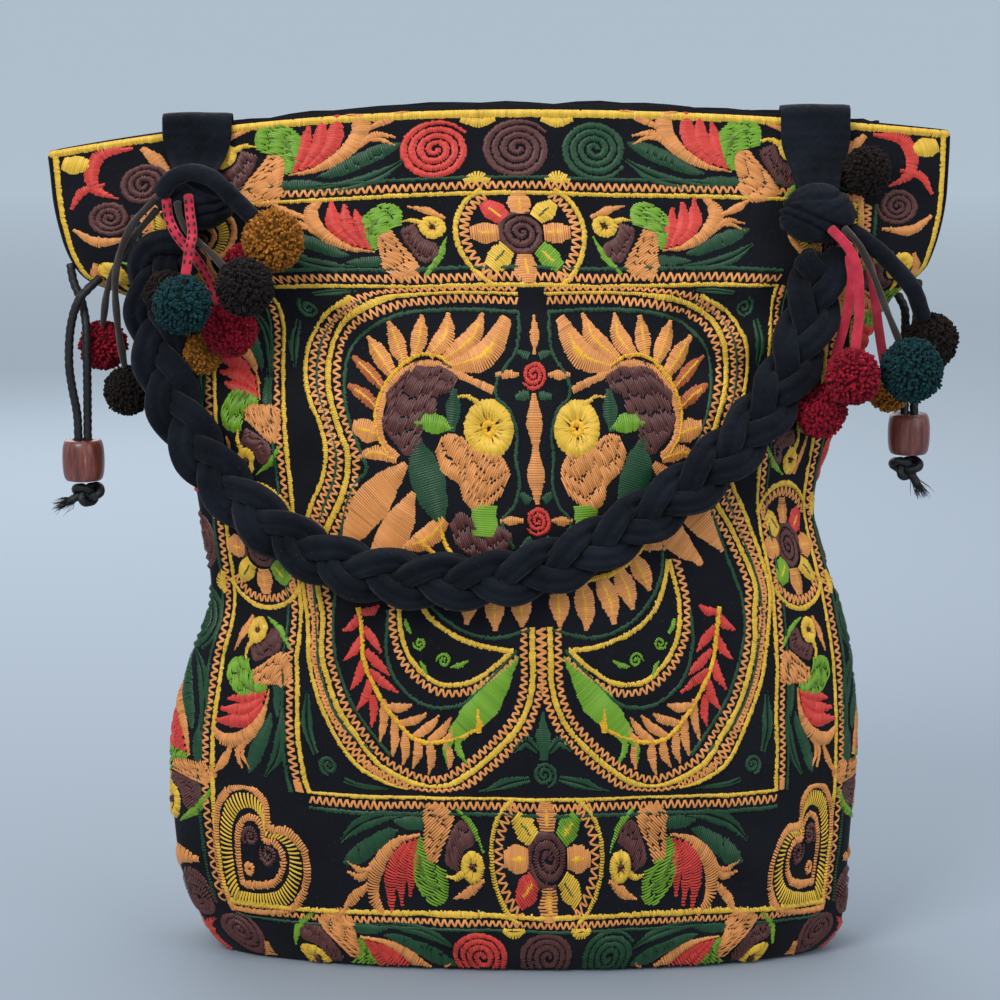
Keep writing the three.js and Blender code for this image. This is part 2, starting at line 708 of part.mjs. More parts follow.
for (const p of pompoms) {
  const ball = addPiece("pompom_" + p.name, pompom(p.r, p.flat), p.colour);
  ball.position.copy(placed(knotAt[p.knot], [p.x, p.out, p.z]));
}

function placed(origin, [x, out, z]) {
  return new THREE.Vector3(origin.x + x, origin.y - out, origin.z + z);
}

// A cord through points placed from an origin.
function cord(origin, route, section, spacing) {
  const curve = new THREE.CatmullRomCurve3(route.map((p) => placed(origin, p)), false, "centripetal");
  const stations = Math.max(4, Math.round(curve.getLength() / spacing));
  const even = new THREE.CatmullRomCurve3(curve.getSpacedPoints(stations));
  return sweep(even, stations, () => section, towardsFront);
}

const hangerSections = {
  tail: { section: oval(tailThickness, tailThickness, 8), spacing: 8 },
  suede: { section: strip(suedeWidth, suedeThickness), spacing: 7 },
  round: { section: oval(roundCordThickness, roundCordThickness, 6), spacing: 9 },
};

for (const h of hangers) {
  const { section, spacing } = hangerSections[h.kind];
  addPiece(h.name, cord(knotAt[h.knot], h.route, section, spacing), h.colour);
}

// A barrel bead with a hole for both strands.
const beadSides = 14;
const beadShape = [
  { r: 1, z: 0.3 },
  { r: 0.93, z: 0.8 },
  { r: 0.76, z: 1 },
];

function bead() {
  const hole = beadHole / 2;
  const half = beadHeight / 2;
  const upper = beadShape.map((p) => new THREE.Vector2((p.r * beadDiameter) / 2, p.z * half));
  const lower = upper.map((p) => new THREE.Vector2(p.x, -p.y)).reverse();
  const start = new THREE.Vector2(hole, -half);
  const profile = [start, ...lower, ...upper, new THREE.Vector2(hole, half), start.clone()];
  const geometry = new THREE.LatheGeometry(profile, beadSides);
  return geometry.rotateX(Math.PI / 2);
}

// The knot under a bead, with its loose end pointing along fray.
function endKnot(centre, fray) {
  const side = Math.sign(fray[0]);
  const wide = endKnotWidth / 2;
  const high = endKnotHeight / 2;
  const neck = [side * wide * 0.62, -high * 0.45];
  const alongFray = (share) => [0, 1].map((c) => neck[c] + fray[c] * frayLength * share);
  const stations = [
    { at: [-side * wide, 0], r: high * 0.3 },
    { at: [-side * wide * 0.8, 0], r: high * 0.8 },
    { at: [-side * wide * 0.25, 0], r: high },
    { at: [side * wide * 0.25, -high * 0.1], r: high * 0.9 },
    { at: neck, r: high * 0.6 },
    { at: alongFray(0.3), r: high * 0.36 },
    { at: alongFray(0.8), r: high * 0.5 },
    { at: alongFray(1), r: high * 0.3 },
  ];
  const points = stations.map((p) => new THREE.Vector3(centre.x + p.at[0], centre.y, centre.z + p.at[1]));
  const curve = new THREE.CatmullRomCurve3(points, false, "centripetal");
  const last = stations.length - 1;
  const radiusAt = (t) => {
    const k = Math.min(last - 1, Math.floor(t * last));
    return THREE.MathUtils.lerp(stations[k].r, stations[k + 1].r, t * last - k);
  };
  return sweep(curve, last, (t) => oval(radiusAt(t) * 2, radiusAt(t) * 2, 8), towardsFront);
}

const drawcordSection = oval(drawcordThickness, drawcordThickness, 8);
const drawcordSpacing = drawcordThickness * 2.2;

for (const side of ["left", "right"]) {
  const string = drawstrings[side];
  const beadAt = placed(clothPoint(-1, side === "left" ? -1 : 1, cinchDown), string.bead);
  addPiece("bead_" + side, bead(), "wood", 0.35).position.copy(beadAt);
  for (const strandName of ["front", "back"]) {
    const geometry = cord(beadAt, string[strandName], drawcordSection, drawcordSpacing);
    addPiece("drawstring_" + side + "_" + strandName, geometry, "drawcord", 0.5);
  }
  const drop = beadHeight / 2 + endKnotHeight / 2;
  const knotMiddle = placed(beadAt, [string.knot[0], string.knot[1], -drop]);
  addPiece("cord_knot_" + side, endKnot(knotMiddle, string.fray), "drawcord", 0.6);
}

export default bag;
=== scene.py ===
import math

import bpy
import numpy as np
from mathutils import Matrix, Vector


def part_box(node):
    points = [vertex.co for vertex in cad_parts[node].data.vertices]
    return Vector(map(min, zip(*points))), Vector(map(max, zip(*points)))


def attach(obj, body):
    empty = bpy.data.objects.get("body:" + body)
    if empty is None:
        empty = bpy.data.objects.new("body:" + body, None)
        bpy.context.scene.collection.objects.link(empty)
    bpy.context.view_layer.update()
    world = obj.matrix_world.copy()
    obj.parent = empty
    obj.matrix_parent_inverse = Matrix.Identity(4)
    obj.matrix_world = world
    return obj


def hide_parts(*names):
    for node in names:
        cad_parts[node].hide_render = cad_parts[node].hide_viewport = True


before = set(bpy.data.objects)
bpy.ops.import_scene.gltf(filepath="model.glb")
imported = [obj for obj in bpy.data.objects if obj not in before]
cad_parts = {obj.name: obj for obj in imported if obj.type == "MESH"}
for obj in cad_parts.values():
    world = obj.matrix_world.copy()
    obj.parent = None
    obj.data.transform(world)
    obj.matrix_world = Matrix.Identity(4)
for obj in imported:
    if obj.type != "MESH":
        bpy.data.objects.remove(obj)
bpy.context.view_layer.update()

bl_info = {
    "name": "Embroidered Cloth Bag",
    "version": (1, 0, 0),
    "blender": (4, 5, 0),
    "location": "3D View > Sidebar > Cloth Bag",
    "description": "Builds an embroidered cloth tote with a braided handle, pompoms and beaded drawstrings",
    "category": "Object",
}

# Lengths in this script are millimetres, and meshes are made in metres.
MM = 0.001

# Sections of the cloth from the rim to the hem, as in the solid panels. down is the share of the
# cloth's length, z of the bag's height, left, right, axis and the pleats of half the cloth's width,
# front and back of the bag's depth, and the droops of its height.
SECTION_COLUMNS = (
    "down", "z", "left", "right", "axis", "front", "back", "pleat_left", "pleat_right", "droop_left",
    "droop_right",
)
SECTION_ROWS = (
    (0.0, 1.0, 0.982, 0.977, 0.041, 0.105, 0.105, 0.0, 0.0, 0.05, 0.026),
    (0.09, 0.905, 0.962, 0.968, 0.041, 0.165, 0.155, 0.0, 0.0, 0.04, 0.022),
    (0.16, 0.83, 0.915, 0.935, 0.055, 0.22, 0.21, 0.0, 0.0, 0.022, 0.01),
    (0.215, 0.772, 0.815, 0.885, 0.073, 0.285, 0.27, 0.045, 0.05, 0.0, 0.0),
    (0.29, 0.7, 0.778, 0.835, 0.073, 0.37, 0.36, 0.1, 0.1, 0.0, 0.0),
    (0.365, 0.62, 0.752, 0.78, 0.076, 0.42, 0.42, 0.12, 0.12, 0.0, 0.0),
    (0.44, 0.54, 0.724, 0.742, 0.082, 0.455, 0.45, 0.12, 0.13, 0.0, 0.0),
    (0.545, 0.43, 0.7, 0.803, 0.088, 0.49, 0.48, 0.11, 0.12, 0.0, 0.0),
    (0.61, 0.36, 0.745, 0.836, 0.091, 0.505, 0.49, 0.09, 0.11, 0.0, 0.0),
    (0.7, 0.265, 0.785, 0.848, 0.095, 0.515, 0.5, 0.07, 0.1, 0.0, 0.0),
    (0.85, 0.112, 0.773, 0.832, 0.108, 0.5, 0.49, 0.06, 0.08, 0.0, 0.0),
    (0.92, 0.036, 0.715, 0.815, 0.108, 0.47, 0.46, 0.05, 0.06, 0.0, 0.0),
    (0.955, 0.0, 0.65, 0.755, 0.106, 0.4, 0.39, 0.04, 0.04, 0.0, 0.0),
    (1.0, 0.0, 0.57, 0.67, 0.106, 0.26, 0.25, 0.03, 0.03, 0.0, 0.0),
)
SECTIONS = {name: np.array([row[i] for row in SECTION_ROWS]) for i, name in enumerate(SECTION_COLUMNS)}

# Creases of the front panel: s across from -1 to 1 and d down from 0 to 1 at both ends, then the
# width as a share of half the cloth's width and the depth as a share of the bag's depth.
FRONT_FOLDS = (
    (-1.0, 0.21, -0.5, 0.24, 0.05, 0.05),
    (-0.8, 0.3, -0.45, 0.26, 0.07, 0.05),
    (1.0, 0.2, 0.4, 0.225, 0.05, 0.06),
    (0.92, 0.33, 0.45, 0.27, 0.06, 0.07),
    (-1.0, 0.56, -0.7, 0.53, 0.06, 0.05),
    (1.0, 0.46, 0.72, 0.45, 0.06, 0.05),
    (-0.5, 0.87, 0.5, 0.87, 0.05, 0.02),
)
# Smaller creases that only the cloth's finer surface shows, on both panels.
FINE_FOLDS = (
    (-0.95, 0.245, -0.62, 0.3, 0.022, 0.02),
    (-0.92, 0.185, -0.6, 0.2, 0.02, 0.016),
    (0.95, 0.235, 0.6, 0.3, 0.022, 0.02),
    (0.93, 0.17, 0.62, 0.19, 0.02, 0.016),
    (0.9, 0.28, 0.58, 0.35, 0.02, 0.018),
    (-0.9, 0.34, -0.66, 0.4, 0.022, 0.02),
    (0.9, 0.4, 0.66, 0.37, 0.022, 0.02),
    (-0.95, 0.62, -0.74, 0.6, 0.024, 0.018),
    (0.95, 0.53, 0.75, 0.52, 0.024, 0.018),
    (-0.9, 0.75, -0.6, 0.73, 0.03, 0.012),
    (0.3, 0.8, 0.8, 0.78, 0.03, 0.012),
    (-0.3, 0.21, 0.2, 0.212, 0.03, 0.012),
    (-0.8, 0.9, -0.3, 0.895, 0.03, 0.014),
    (0.2, 0.9, 0.7, 0.905, 0.03, 0.014),
)

# The handle's route: x as a share of half the cloth's width, z of the bag's height.
BRAID_ROUTE = (
    (-0.7, 0.866), (-0.738, 0.825), (-0.75, 0.775), (-0.738, 0.725), (-0.7, 0.66), (-0.609, 0.586),
    (-0.491, 0.53), (-0.345, 0.49), (-0.182, 0.475), (0.0, 0.478), (0.145, 0.499), (0.282, 0.537),
    (0.432, 0.59), (0.545, 0.648), (0.618, 0.702), (0.659, 0.757), (0.686, 0.81), (0.69, 0.852),
)

# The cords that the pompoms hang from, in millimetres from the middle of their knot: x to the right,
# out to the front, z up.
HANGERS = (
    {"node": "tail_left", "knot": "left", "kind": "tail", "pompom": "left_ochre", "route": (
        (-14.7, 9.4, 4.8), (-9, 13.5, 11), (-1, 14.2, 14), (9, 14.8, 11.5), (18, 15.2, 4),
        (28.4, 16.4, -6.5))},
    {"node": "suede_left_teal", "knot": "left", "kind": "suede", "pompom": "left_teal", "route": (
        (-2, 11.4, 3), (-1, 15, -5), (0.5, 21, -14), (-0.5, 27, -21), (-1.8, 32.2, -31.9))},
    {"node": "suede_left_low", "knot": "left", "kind": "suede", "pompom": "left_crimson_low", "route": (
        (-12.5, 10, 1), (-11, 12.6, -8), (-6.5, 16.5, -16), (1, 17, -25), (6, 14, -34),
        (11.4, 11.3, -47.3))},
    {"node": "cord_left_charcoal", "knot": "left", "kind": "round", "pompom": "left_charcoal", "route": (
        (-7.2, 12, 0), (-5.5, 13, -8), (0, 14.5, -16), (8, 20, -22), (15.3, 24.7, -29.2))},
    {"node": "cord_left_side_upper", "knot": "left", "kind": "round", "pompom": "left_crimson_side",
        "route": (
        (-18.1, 1, -4.4), (-32, -1.7, -20.7), (-43, -11.7, -40.7), (-48.3, -25.8, -61.7))},
    {"node": "cord_left_side_lower", "knot": "left", "kind": "round", "pompom": "left_brown_side",
        "route": (
        (-18.4, 3.4, 1), (-30, 4, -12), (-38, 0, -33), (-39, -9, -60), (-37, -16.3, -81.2))},
    {"node": "tail_right", "knot": "right", "kind": "tail", "pompom": "right_brown_side", "route": (
        (15.6, 1, -8.1), (24, 0.8, -14), (32.3, 0, -20.8), (45.9, -4, -35.9), (52.2, -9.6, -50.4))},
    {"node": "cord_right_teal", "knot": "right", "kind": "round", "pompom": "right_teal", "route": (
        (11.8, 9.2, -6.5), (18, 9.5, -13), (23, 9.5, -22), (31.5, 10, -43), (38.3, 10, -58.8))},
    {"node": "suede_right_crimson", "knot": "right", "kind": "suede", "pompom": "right_crimson", "route": (
        (5.4, 10.6, -6.6), (12.5, 12.8, -14), (17.5, 13.5, -24), (19, 14.5, -44), (17.2, 17.9, -62))},
    {"node": "suede_right_back", "knot": "right", "kind": "suede", "pompom": "right_crimson_back",
        "route": (
        (15, 5, -20), (16, 6, -32), (14, 6, -48), (10, 6.2, -64), (5.6, 7.4, -80.4))},
    {"node": "suede_right_ochre", "knot": "right", "kind": "suede", "pompom": "right_ochre", "route": (
        (24.5, 0.5, -21.8), (27, 1, -34), (30, -4, -52), (33, -10, -66), (35.5, -14.4, -76.5))},
)

# Each drawstring's two strands in millimetres from the middle of its bead, in the same directions.
DRAWSTRINGS = {
    "left": {
        "front": ((9.9, 0.8, 88.4), (5, 4, 84), (0, 4.5, 78), (-4, 3.5, 66), (-5.5, 2.5, 47),
            (-4.5, 1.5, 36),
                  (-2.5, 0, 22), (-2.25, 0, 9), (-2.25, 0, -9.4)),
        "back": ((-5, -7, 94.2), (-3.4, -5.5, 86), (0.5, -3, 77), (3, 1.5, 66), (3.2, 3, 55), (3.2, 3, 45),
                 (3, 2, 36), (2.5, 0, 22), (2.25, 0, 9), (2.25, 0, -9.4)),
        "fray": (-0.9, -0.44),
    },
    "right": {
        "front": ((-6.9, 0.8, 67.7), (-3.5, 0, 61), (-2.5, -3.5, 48), (-2.5, -4, 36), (-2.4, -3.5, 24),
                  (-2.25, 0, 9), (-2.25, 0, -9.4)),
        "back": ((3.2, -3.4, 74), (3.4, -3.6, 66), (2.6, -3, 52), (2.4, -2.5, 36), (2.4, -1.5, 24),
                 (2.25, 0, 9), (2.25, 0, -9.4)),
        "fray": (0.5, -0.87),
    },
}

POMPOMS = {
    "left_teal": "teal", "left_charcoal": "charcoal", "left_ochre": "ochre", "left_crimson_low": "crimson",
    "left_crimson_back": "crimson", "left_brown_back": "brown", "left_ochre_low": "ochre",
    "left_crimson_side": "crimson", "left_brown_side": "brown", "right_brown_top": "brown",
    "right_brown_side": "brown", "right_crimson": "crimson", "right_teal": "teal", "right_ochre": "ochre",
    "right_crimson_back": "crimson",
}


def length(name, text, value):
    """A size in metres that a user may change."""
    return bpy.props.FloatProperty(name=name, description=text, default=value, unit="LENGTH", precision=4)


def colour(name, text, value):
    """A colour that a user may change."""
    return bpy.props.FloatVectorProperty(
        name=name, description=text, default=value, subtype="COLOR", size=3, min=0, max=1
    )


class BAG_PG_sizes(bpy.types.PropertyGroup):
    """Sizes of the bag and of its thread, yarn and cords."""

    cloth_width: length("Cloth width", "Flat width of a panel from seam to seam", 0.44)
    bag_height: length("Bag height", "Base to the middle of the rim", 0.415)
    bag_depth: length("Bag depth", "Front to back at the belly", 0.12)
    cloth_wall: length("Cloth", "Thickness of a panel", 0.002)
    pucker: length("Puckers", "How deep the stitching puckers the cloth", 0.0016)
    stitch_pitch: length("Stitch pitch", "From one satin stitch to the next", 0.00105)
    stitch_height: length("Stitch height", "How far satin stands above the cloth", 0.0011)
    strand_width: length("Strand width", "Width of a padded strand of the handle", 0.0118)
    strand_thickness: length("Strand thickness", "Thickness of a padded strand", 0.0105)
    tail_thickness: length("Tail thickness", "Thickness of a padded jersey end", 0.0084)
    suede_width: length("Suede width", "Width of a suede strip", 0.0046)
    suede_thickness: length("Suede thickness", "Thickness of a suede strip", 0.0016)
    round_cord: length("Round cord", "Thickness of a round cord", 0.0036)
    drawcord: length("Drawstring", "Thickness of a strand of a drawstring", 0.0042)
    yarn: length("Yarn", "Thickness of a pompom's cut yarn", 0.0015)
    tufts: bpy.props.IntProperty(
        name="Tufts", description="Cut ends of yarn on the largest pompom", default=1050, min=50
    )


class BAG_PG_colours(bpy.types.PropertyGroup):
    """Colours of the cloth, thread, yarn, suede, cord, wood and stage."""

    cotton: colour("Cotton", "Ground cloth of the panels", (0.005, 0.006, 0.009))
    lining: colour("Lining", "Lining of the bag", (0.004, 0.0048, 0.0065))
    jersey: colour("Jersey", "Handle, straps and knots", (0.0056, 0.0074, 0.0118))
    gold: colour("Gold thread", "Rims, frames and heads", (0.85, 0.52, 0.04))
    sun: colour("Sun thread", "Veins of the petals", (0.93, 0.5, 0.012))
    peach: colour("Peach thread", "Petals, wings and bodies", (0.78, 0.3, 0.075))
    rust: colour("Rust thread", "Outer petals", (0.5, 0.12, 0.025))
    coral: colour("Coral thread", "Feathers and spirals", (0.7, 0.045, 0.03))
    mauve: colour("Mauve thread", "Flowers and spirals", (0.11, 0.028, 0.024))
    lime: colour("Lime thread", "Leaves and pods", (0.17, 0.38, 0.012))
    olive: colour("Olive thread", "Shaded side of the leaves", (0.1, 0.2, 0.01))
    green: colour("Dark green thread", "Leaves and outlines", (0.003, 0.06, 0.017))
    teal: colour("Teal wool", "Teal pompoms", (0.004, 0.04, 0.045))
    charcoal: colour("Charcoal wool", "Charcoal pompoms", (0.014, 0.009, 0.009))
    ochre: colour("Ochre wool", "Ochre pompoms", (0.36, 0.13, 0.012))
    crimson: colour("Crimson wool", "Crimson pompoms", (0.3, 0.004, 0.02))
    brown: colour("Brown wool", "Dark brown pompoms", (0.012, 0.006, 0.005))
    suede_red: colour("Crimson suede", "Suede strips", (0.52, 0.022, 0.05))
    suede_brown: colour("Brown suede", "Round cords", (0.03, 0.022, 0.018))
    drawcord: colour("Drawstring", "Drawstrings and their knots", (0.006, 0.0065, 0.008))
    wood: colour("Wood", "Stained wooden beads", (0.16, 0.04, 0.028))
    grain: colour("Wood grain", "Pale streaks in the beads", (0.5, 0.22, 0.16))
    floor: colour("Floor", "The floor in front", (0.3, 0.355, 0.425))
    backdrop: colour("Backdrop", "The floor far behind", (0.78, 0.9, 1.0))


def sizes_mm():
    """The sizes in millimetres, by name."""
    group = bpy.context.scene.bag_sizes
    lengths = {}
    for key, prop in group.bl_rna.properties.items():
        if prop.type == "FLOAT":
            lengths[key] = getattr(group, key) / MM
    return lengths


# Curves and meshes.


def respace(points, step):
    """Points of a polyline spaced evenly by about step."""
    points = np.asarray(points, float)
    run = np.concatenate([[0], np.cumsum(np.linalg.norm(np.diff(points, axis=0), axis=1))])
    count = max(2, int(round(run[-1] / step)))
    places = np.linspace(0, run[-1], count + 1)
    return np.stack([np.interp(places, run, points[:, k]) for k in range(points.shape[1])], axis=1)


def spline(points, step):
    """A smooth curve through the points, spaced evenly by about step."""
    p = np.asarray(points, float)
    p = np.vstack([2 * p[0] - p[1], p, 2 * p[-1] - p[-2]])
    t = np.linspace(0, 1, 17)[:-1, None]
    pieces = []
    for a, b, c, d in zip(p, p[1:], p[2:], p[3:]):
        before, here, after = (max(np.linalg.norm(y - x), 1e-6) ** 0.5 for x, y in ((a, b), (b, c), (c, d)))
        leave = ((b - a) / before - (c - a) / (before + here) + (c - b) / here) * here
        arrive = ((c - b) / here - (d - b) / (here + after) + (d - c) / after) * here
        ends = (2 * t**3 - 3 * t**2 + 1) * b + (3 * t**2 - 2 * t**3) * c
        pieces.append(ends + (t**3 - 2 * t**2 + t) * leave + (t**3 - t**2) * arrive)
    return respace(np.vstack([*pieces, p[-2:-1]]), step)


def unit(vectors):
    """The vectors at length 1."""
    return vectors / np.maximum(np.linalg.norm(vectors, axis=-1, keepdims=True), 1e-9)


def smoothstep(x, low, high):
    """0 below low and 1 above high, with a soft change between."""
    t = np.clip((x - low) / (high - low), 0, 1)
    return t * t * (3 - 2 * t)


def grid_quads(rows, columns, closed=False):
    """Quads of a grid of rows of points, closed round each row or open."""
    wide = columns if closed else columns - 1
    i, j = np.meshgrid(np.arange(rows - 1), np.arange(wide), indexing="ij")
    right = (j + 1) % columns
    upper, lower = i * columns, (i + 1) * columns
    quads = np.stack([upper + j, upper + right, lower + right, lower + j], axis=-1)
    return quads.reshape(-1, 4)


def make_piece(name, points, faces, material, replaced=(), values=None, flat=None):
    """A smooth mesh piece in metres that rides on the bag. values is a shade for each point."""
    mesh = bpy.data.meshes.new(name)
    mesh.from_pydata((np.asarray(points) * MM).tolist(), [], [list(f) for f in faces])
    mesh.validate()
    mesh.shade_smooth()
    shade = mesh.attributes.new("shade", "FLOAT", "POINT")
    shades = np.full(len(points), 0.5) if values is None else np.asarray(values, float)
    shade.data.foreach_set("value", shades)
    if flat is not None:
        layer = mesh.uv_layers.new(name="cloth")
        loops = np.empty(len(mesh.loops), dtype=np.int32)
        mesh.loops.foreach_get("vertex_index", loops)
        layer.data.foreach_set("uv", (np.asarray(flat)[loops] * MM).ravel())
    mesh.materials.append(material)
    piece = bpy.data.objects.new(name, mesh)
    bpy.context.scene.collection.objects.link(piece)
    if replaced:
        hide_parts(*replaced)
    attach(piece, "root")
    return piece


def face_out(points, faces):
    """The faces turned so that the closed surface they make faces out."""
    p = np.asarray(points)
    tris = [(f[0], f[k], f[k + 1]) for f in faces for k in range(1, len(f) - 1)]
    a, b, c = (p[[t[k] for t in tris]] for k in range(3))
    inside_out = np.einsum("ij,ij->i", a, np.cross(b, c)).sum() < 0
    return [list(reversed(f)) for f in faces] if inside_out else [list(f) for f in faces]


def frames_along(line, lead):
    """Directions across and out at each point of a line. A lead keeps out near one direction."""
    tangent = unit(np.gradient(line, axis=0))
    if lead is not None:
        across = unit(np.cross(tangent, lead))
        return across, unit(np.cross(across, tangent))
    start = np.cross(tangent[0], (0.3, -1, 0.2))
    across = [unit(start)]
    for k in range(1, len(line)):
        turned = across[-1] - np.dot(across[-1], tangent[k]) * tangent[k]
        across.append(unit(turned))
    across = np.array(across)
    return across, np.cross(across, tangent)


def sweep(line, sections, lead=None, ends="round"):
    """Points and faces of a tube. sections is an array of [station, side, (across, out)]."""
    across, out = frames_along(line, lead)
    rings = line[:, None] + sections[..., :1] * across[:, None] + sections[..., 1:] * out[:, None]
    count, sides = sections.shape[:2]
    faces = grid_quads(count, sides, closed=True).tolist()
    points = rings.reshape(-1, 3)
    if ends == "round":
        tangent = unit(np.gradient(line, axis=0))
        caps = []
        for k, way in ((0, -1), (count - 1, 1)):
            radius = np.linalg.norm(sections[k], axis=1).mean()
            middle = line[k]
            inner = middle + (rings[k] - middle) * 0.7 + way * tangent[k] * radius * 0.35
            tip = middle + way * tangent[k] * radius * 0.5
            base = len(points) + sum(len(c) for c in caps)
            caps.append(np.vstack([inner, tip[None]]))
            for i in range(sides):
                j = (i + 1) % sides
                quad = [k * sides + i, k * sides + j, base + j, base + i]
                faces.append(quad if way > 0 else quad[::-1])
                tri = [base + i, base + j, base + sides]
                faces.append(tri if way > 0 else tri[::-1])
        points = np.vstack([points, *caps])
    else:
        faces.append(list(range(sides))[::-1])
        faces.append([(count - 1) * sides + i for i in range(sides)])
    return points, face_out(points, faces)


def joined(parts):
    """Several (points, faces, values) as one."""
    points, faces, values, base = [], [], [], 0
    for p, f, v in parts:
        points.append(p)
        faces.extend([[i + base for i in face] for face in f])
        values.append(np.full(len(p), v) if np.isscalar(v) else v)
        base += len(p)
    return np.vstack(points), faces, np.concatenate(values)


def centre_of(node):
    """The middle of a CAD node's box in millimetres."""
    low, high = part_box(node)
    return (np.array(low) + np.array(high)) / 2 / MM


def placed(origin, route):
    """Points given as (x, out, z) from an origin."""
    r = np.asarray(route, float)
    return origin + np.stack([r[:, 0], -r[:, 1], r[:, 2]], axis=1)


# The cloth's surface.


def column(name, down):
    """A column of the sections table at shares of the cloth's length, on a smooth curve."""
    rows = SECTIONS["down"]
    values = SECTIONS[name]
    down = np.asarray(down, float)
    k = np.clip(np.searchsorted(rows, down, side="right"), 1, len(rows) - 1)
    a, b, c, d = np.maximum(0, k - 2), k - 1, k, np.minimum(len(rows) - 1, k + 1)
    span = rows[c] - rows[b]
    leave = (values[c] - values[a]) / (rows[c] - rows[a]) * span
    arrive = (values[d] - values[b]) / (rows[d] - rows[b]) * span
    t = (down - rows[b]) / span
    ends = (2 * t**3 - 3 * t**2 + 1) * values[b] + (3 * t**2 - 2 * t**3) * values[c]
    return ends + (t**3 - 2 * t**2 + t) * leave + (t**3 - t**2) * arrive


def fold_depth(folds, s, down, half_width, cloth_length, depth):
    """How deep a list of creases dents the cloth."""
    total = np.zeros(np.broadcast(s, down).shape)
    for s0, d0, s1, d1, wide, deep in folds:
        start = np.array([s0 * half_width, d0 * cloth_length])
        run = np.array([s1 * half_width, d1 * cloth_length]) - start
        x, y = s * half_width - start[0], down * cloth_length - start[1]
        share = np.clip((x * run[0] + y * run[1]) / run.dot(run), 0, 1)
        distance = np.hypot(x - share * run[0], y - share * run[1])
        total += deep * depth * np.exp(-((distance / (wide * half_width)) ** 2))
    return total


def puckers(u, v, seed):
    """Small soft waves from 0 to 1 where thread has drawn the cloth up."""
    rng = np.random.default_rng(seed)
    total = np.zeros(np.broadcast(u, v).shape)
    waves = 26
    for _ in range(waves):
        turn = rng.uniform(0, math.pi)
        wave = rng.uniform(13, 44)
        phase = rng.uniform(0, 2 * math.pi)
        total += np.sin(2 * math.pi * (u * math.cos(turn) + v * math.sin(turn)) / wave + phase)
    return np.clip(0.5 + total / math.sqrt(waves) / 2.4, 0, 1)


class Cloth:
    """A panel's outer face on a fine grid. A place in the flat panel and a height give a point."""

    seam = 0.6  # from the middle plane to a panel at the side seam

    def __init__(self, side, sizes):
        self.side = side
        self.width = sizes["cloth_width"]
        self.half = self.width / 2
        self.count = int(self.width) + 1
        s = np.linspace(-1, 1, self.count)
        down = np.linspace(0, 1, self.count)
        self.points = self.surface(s, down, sizes)
        along = np.gradient(self.points, axis=1)
        below = np.gradient(self.points, axis=0)
        self.normals = unit(np.cross(along, below)) * side

    def surface(self, s, down, sizes):
        """The cloth's points at shares across, from -1 to 1, and down, from 0 to 1."""
        height, depth = sizes["bag_height"], sizes["bag_depth"]
        x = np.empty((self.count, self.count))
        y = np.empty_like(x)
        turn = np.linspace(0, 1, 49)
        angle = turn * math.pi / 2
        inward = smoothstep(turn, 0.72, 1)
        axis = column("axis", down) * self.half
        out = column("front" if self.side < 0 else "back", down) * depth
        for edge, sign, part in (("left", -1, s < 0), ("right", 1, s >= 0)):
            across = column(edge, down) * self.half - sign * axis
            pleat = np.maximum(0, column("pleat_" + edge, down)) * self.half
            for row in range(self.count):
                line_x = across[row] * np.sin(angle) - pleat[row] * inward
                line_y = self.seam + (out[row] - self.seam) * np.cos(angle)
                run = np.concatenate([[0], np.cumsum(np.hypot(np.diff(line_x), np.diff(line_y)))])
                place = np.abs(s[part]) * run[-1]
                x[row, part] = axis[row] + sign * np.interp(place, run, line_x)
                y[row, part] = np.interp(place, run, line_y)
        s_grid, down_grid = np.meshgrid(s, down)
        fade = smoothstep(1 - np.abs(s_grid), 0, 0.12) * np.minimum(1, y / (0.25 * depth))
        dent = fold_depth(FINE_FOLDS, s_grid, down_grid, self.half, self.width, depth)
        if self.side < 0:
            dent += fold_depth(FRONT_FOLDS, s_grid, down_grid, self.half, self.width, depth)
        pucker = puckers(s_grid * self.half, down_grid * self.width, 11 + self.side) * sizes["pucker"]
        rim_fade = smoothstep(down_grid, 0, 0.03) * (1 - smoothstep(down_grid, 0.93, 0.955))
        dent += pucker * rim_fade
        droops = np.where(s_grid < 0, column("droop_left", down_grid), column("droop_right", down_grid))
        z = np.maximum(0, column("z", down_grid)) * height - droops * height * s_grid**2
        return np.stack([x, self.side * (y - dent * fade), z], axis=-1)

    def at(self, u, v, height=0.0):
        """Points over places (u, v) of the flat panel, raised by a height."""
        i = np.clip(np.asarray(v, float) / self.width, 0, 1) * (self.count - 1)
        j = (np.clip(np.asarray(u, float) / self.half, -1, 1) + 1) / 2 * (self.count - 1)
        i0 = np.minimum(i.astype(int), self.count - 2)
        j0 = np.minimum(j.astype(int), self.count - 2)
        fi, fj = (i - i0)[..., None], (j - j0)[..., None]

        def mix(grid):
            upper = grid[i0, j0] * (1 - fj) + grid[i0, j0 + 1] * fj
            lower = grid[i0 + 1, j0] * (1 - fj) + grid[i0 + 1, j0 + 1] * fj
            return upper * (1 - fi) + lower * fi

        return mix(self.points) + unit(mix(self.normals)) * np.asarray(height, float)[..., None]


CLOTHS = {}


def cloth_of(side):
    """The surface of the front (-1) or back (1) panel."""
    if side not in CLOTHS:
        CLOTHS[side] = Cloth(side, sizes_mm())
    return CLOTHS[side]


def front_depth(x, z, reach):
    """The furthest that the front panel stands out near a point of the front view."""
    p = cloth_of(-1).points[:419:3, ::3].reshape(-1, 3)
    near = np.hypot(p[:, 0] - x, p[:, 2] - z) < reach
    return min(-sizes_mm()["cloth_wall"], p[near, 1].min()) if near.any() else -sizes_mm()["cloth_wall"]


# Materials.


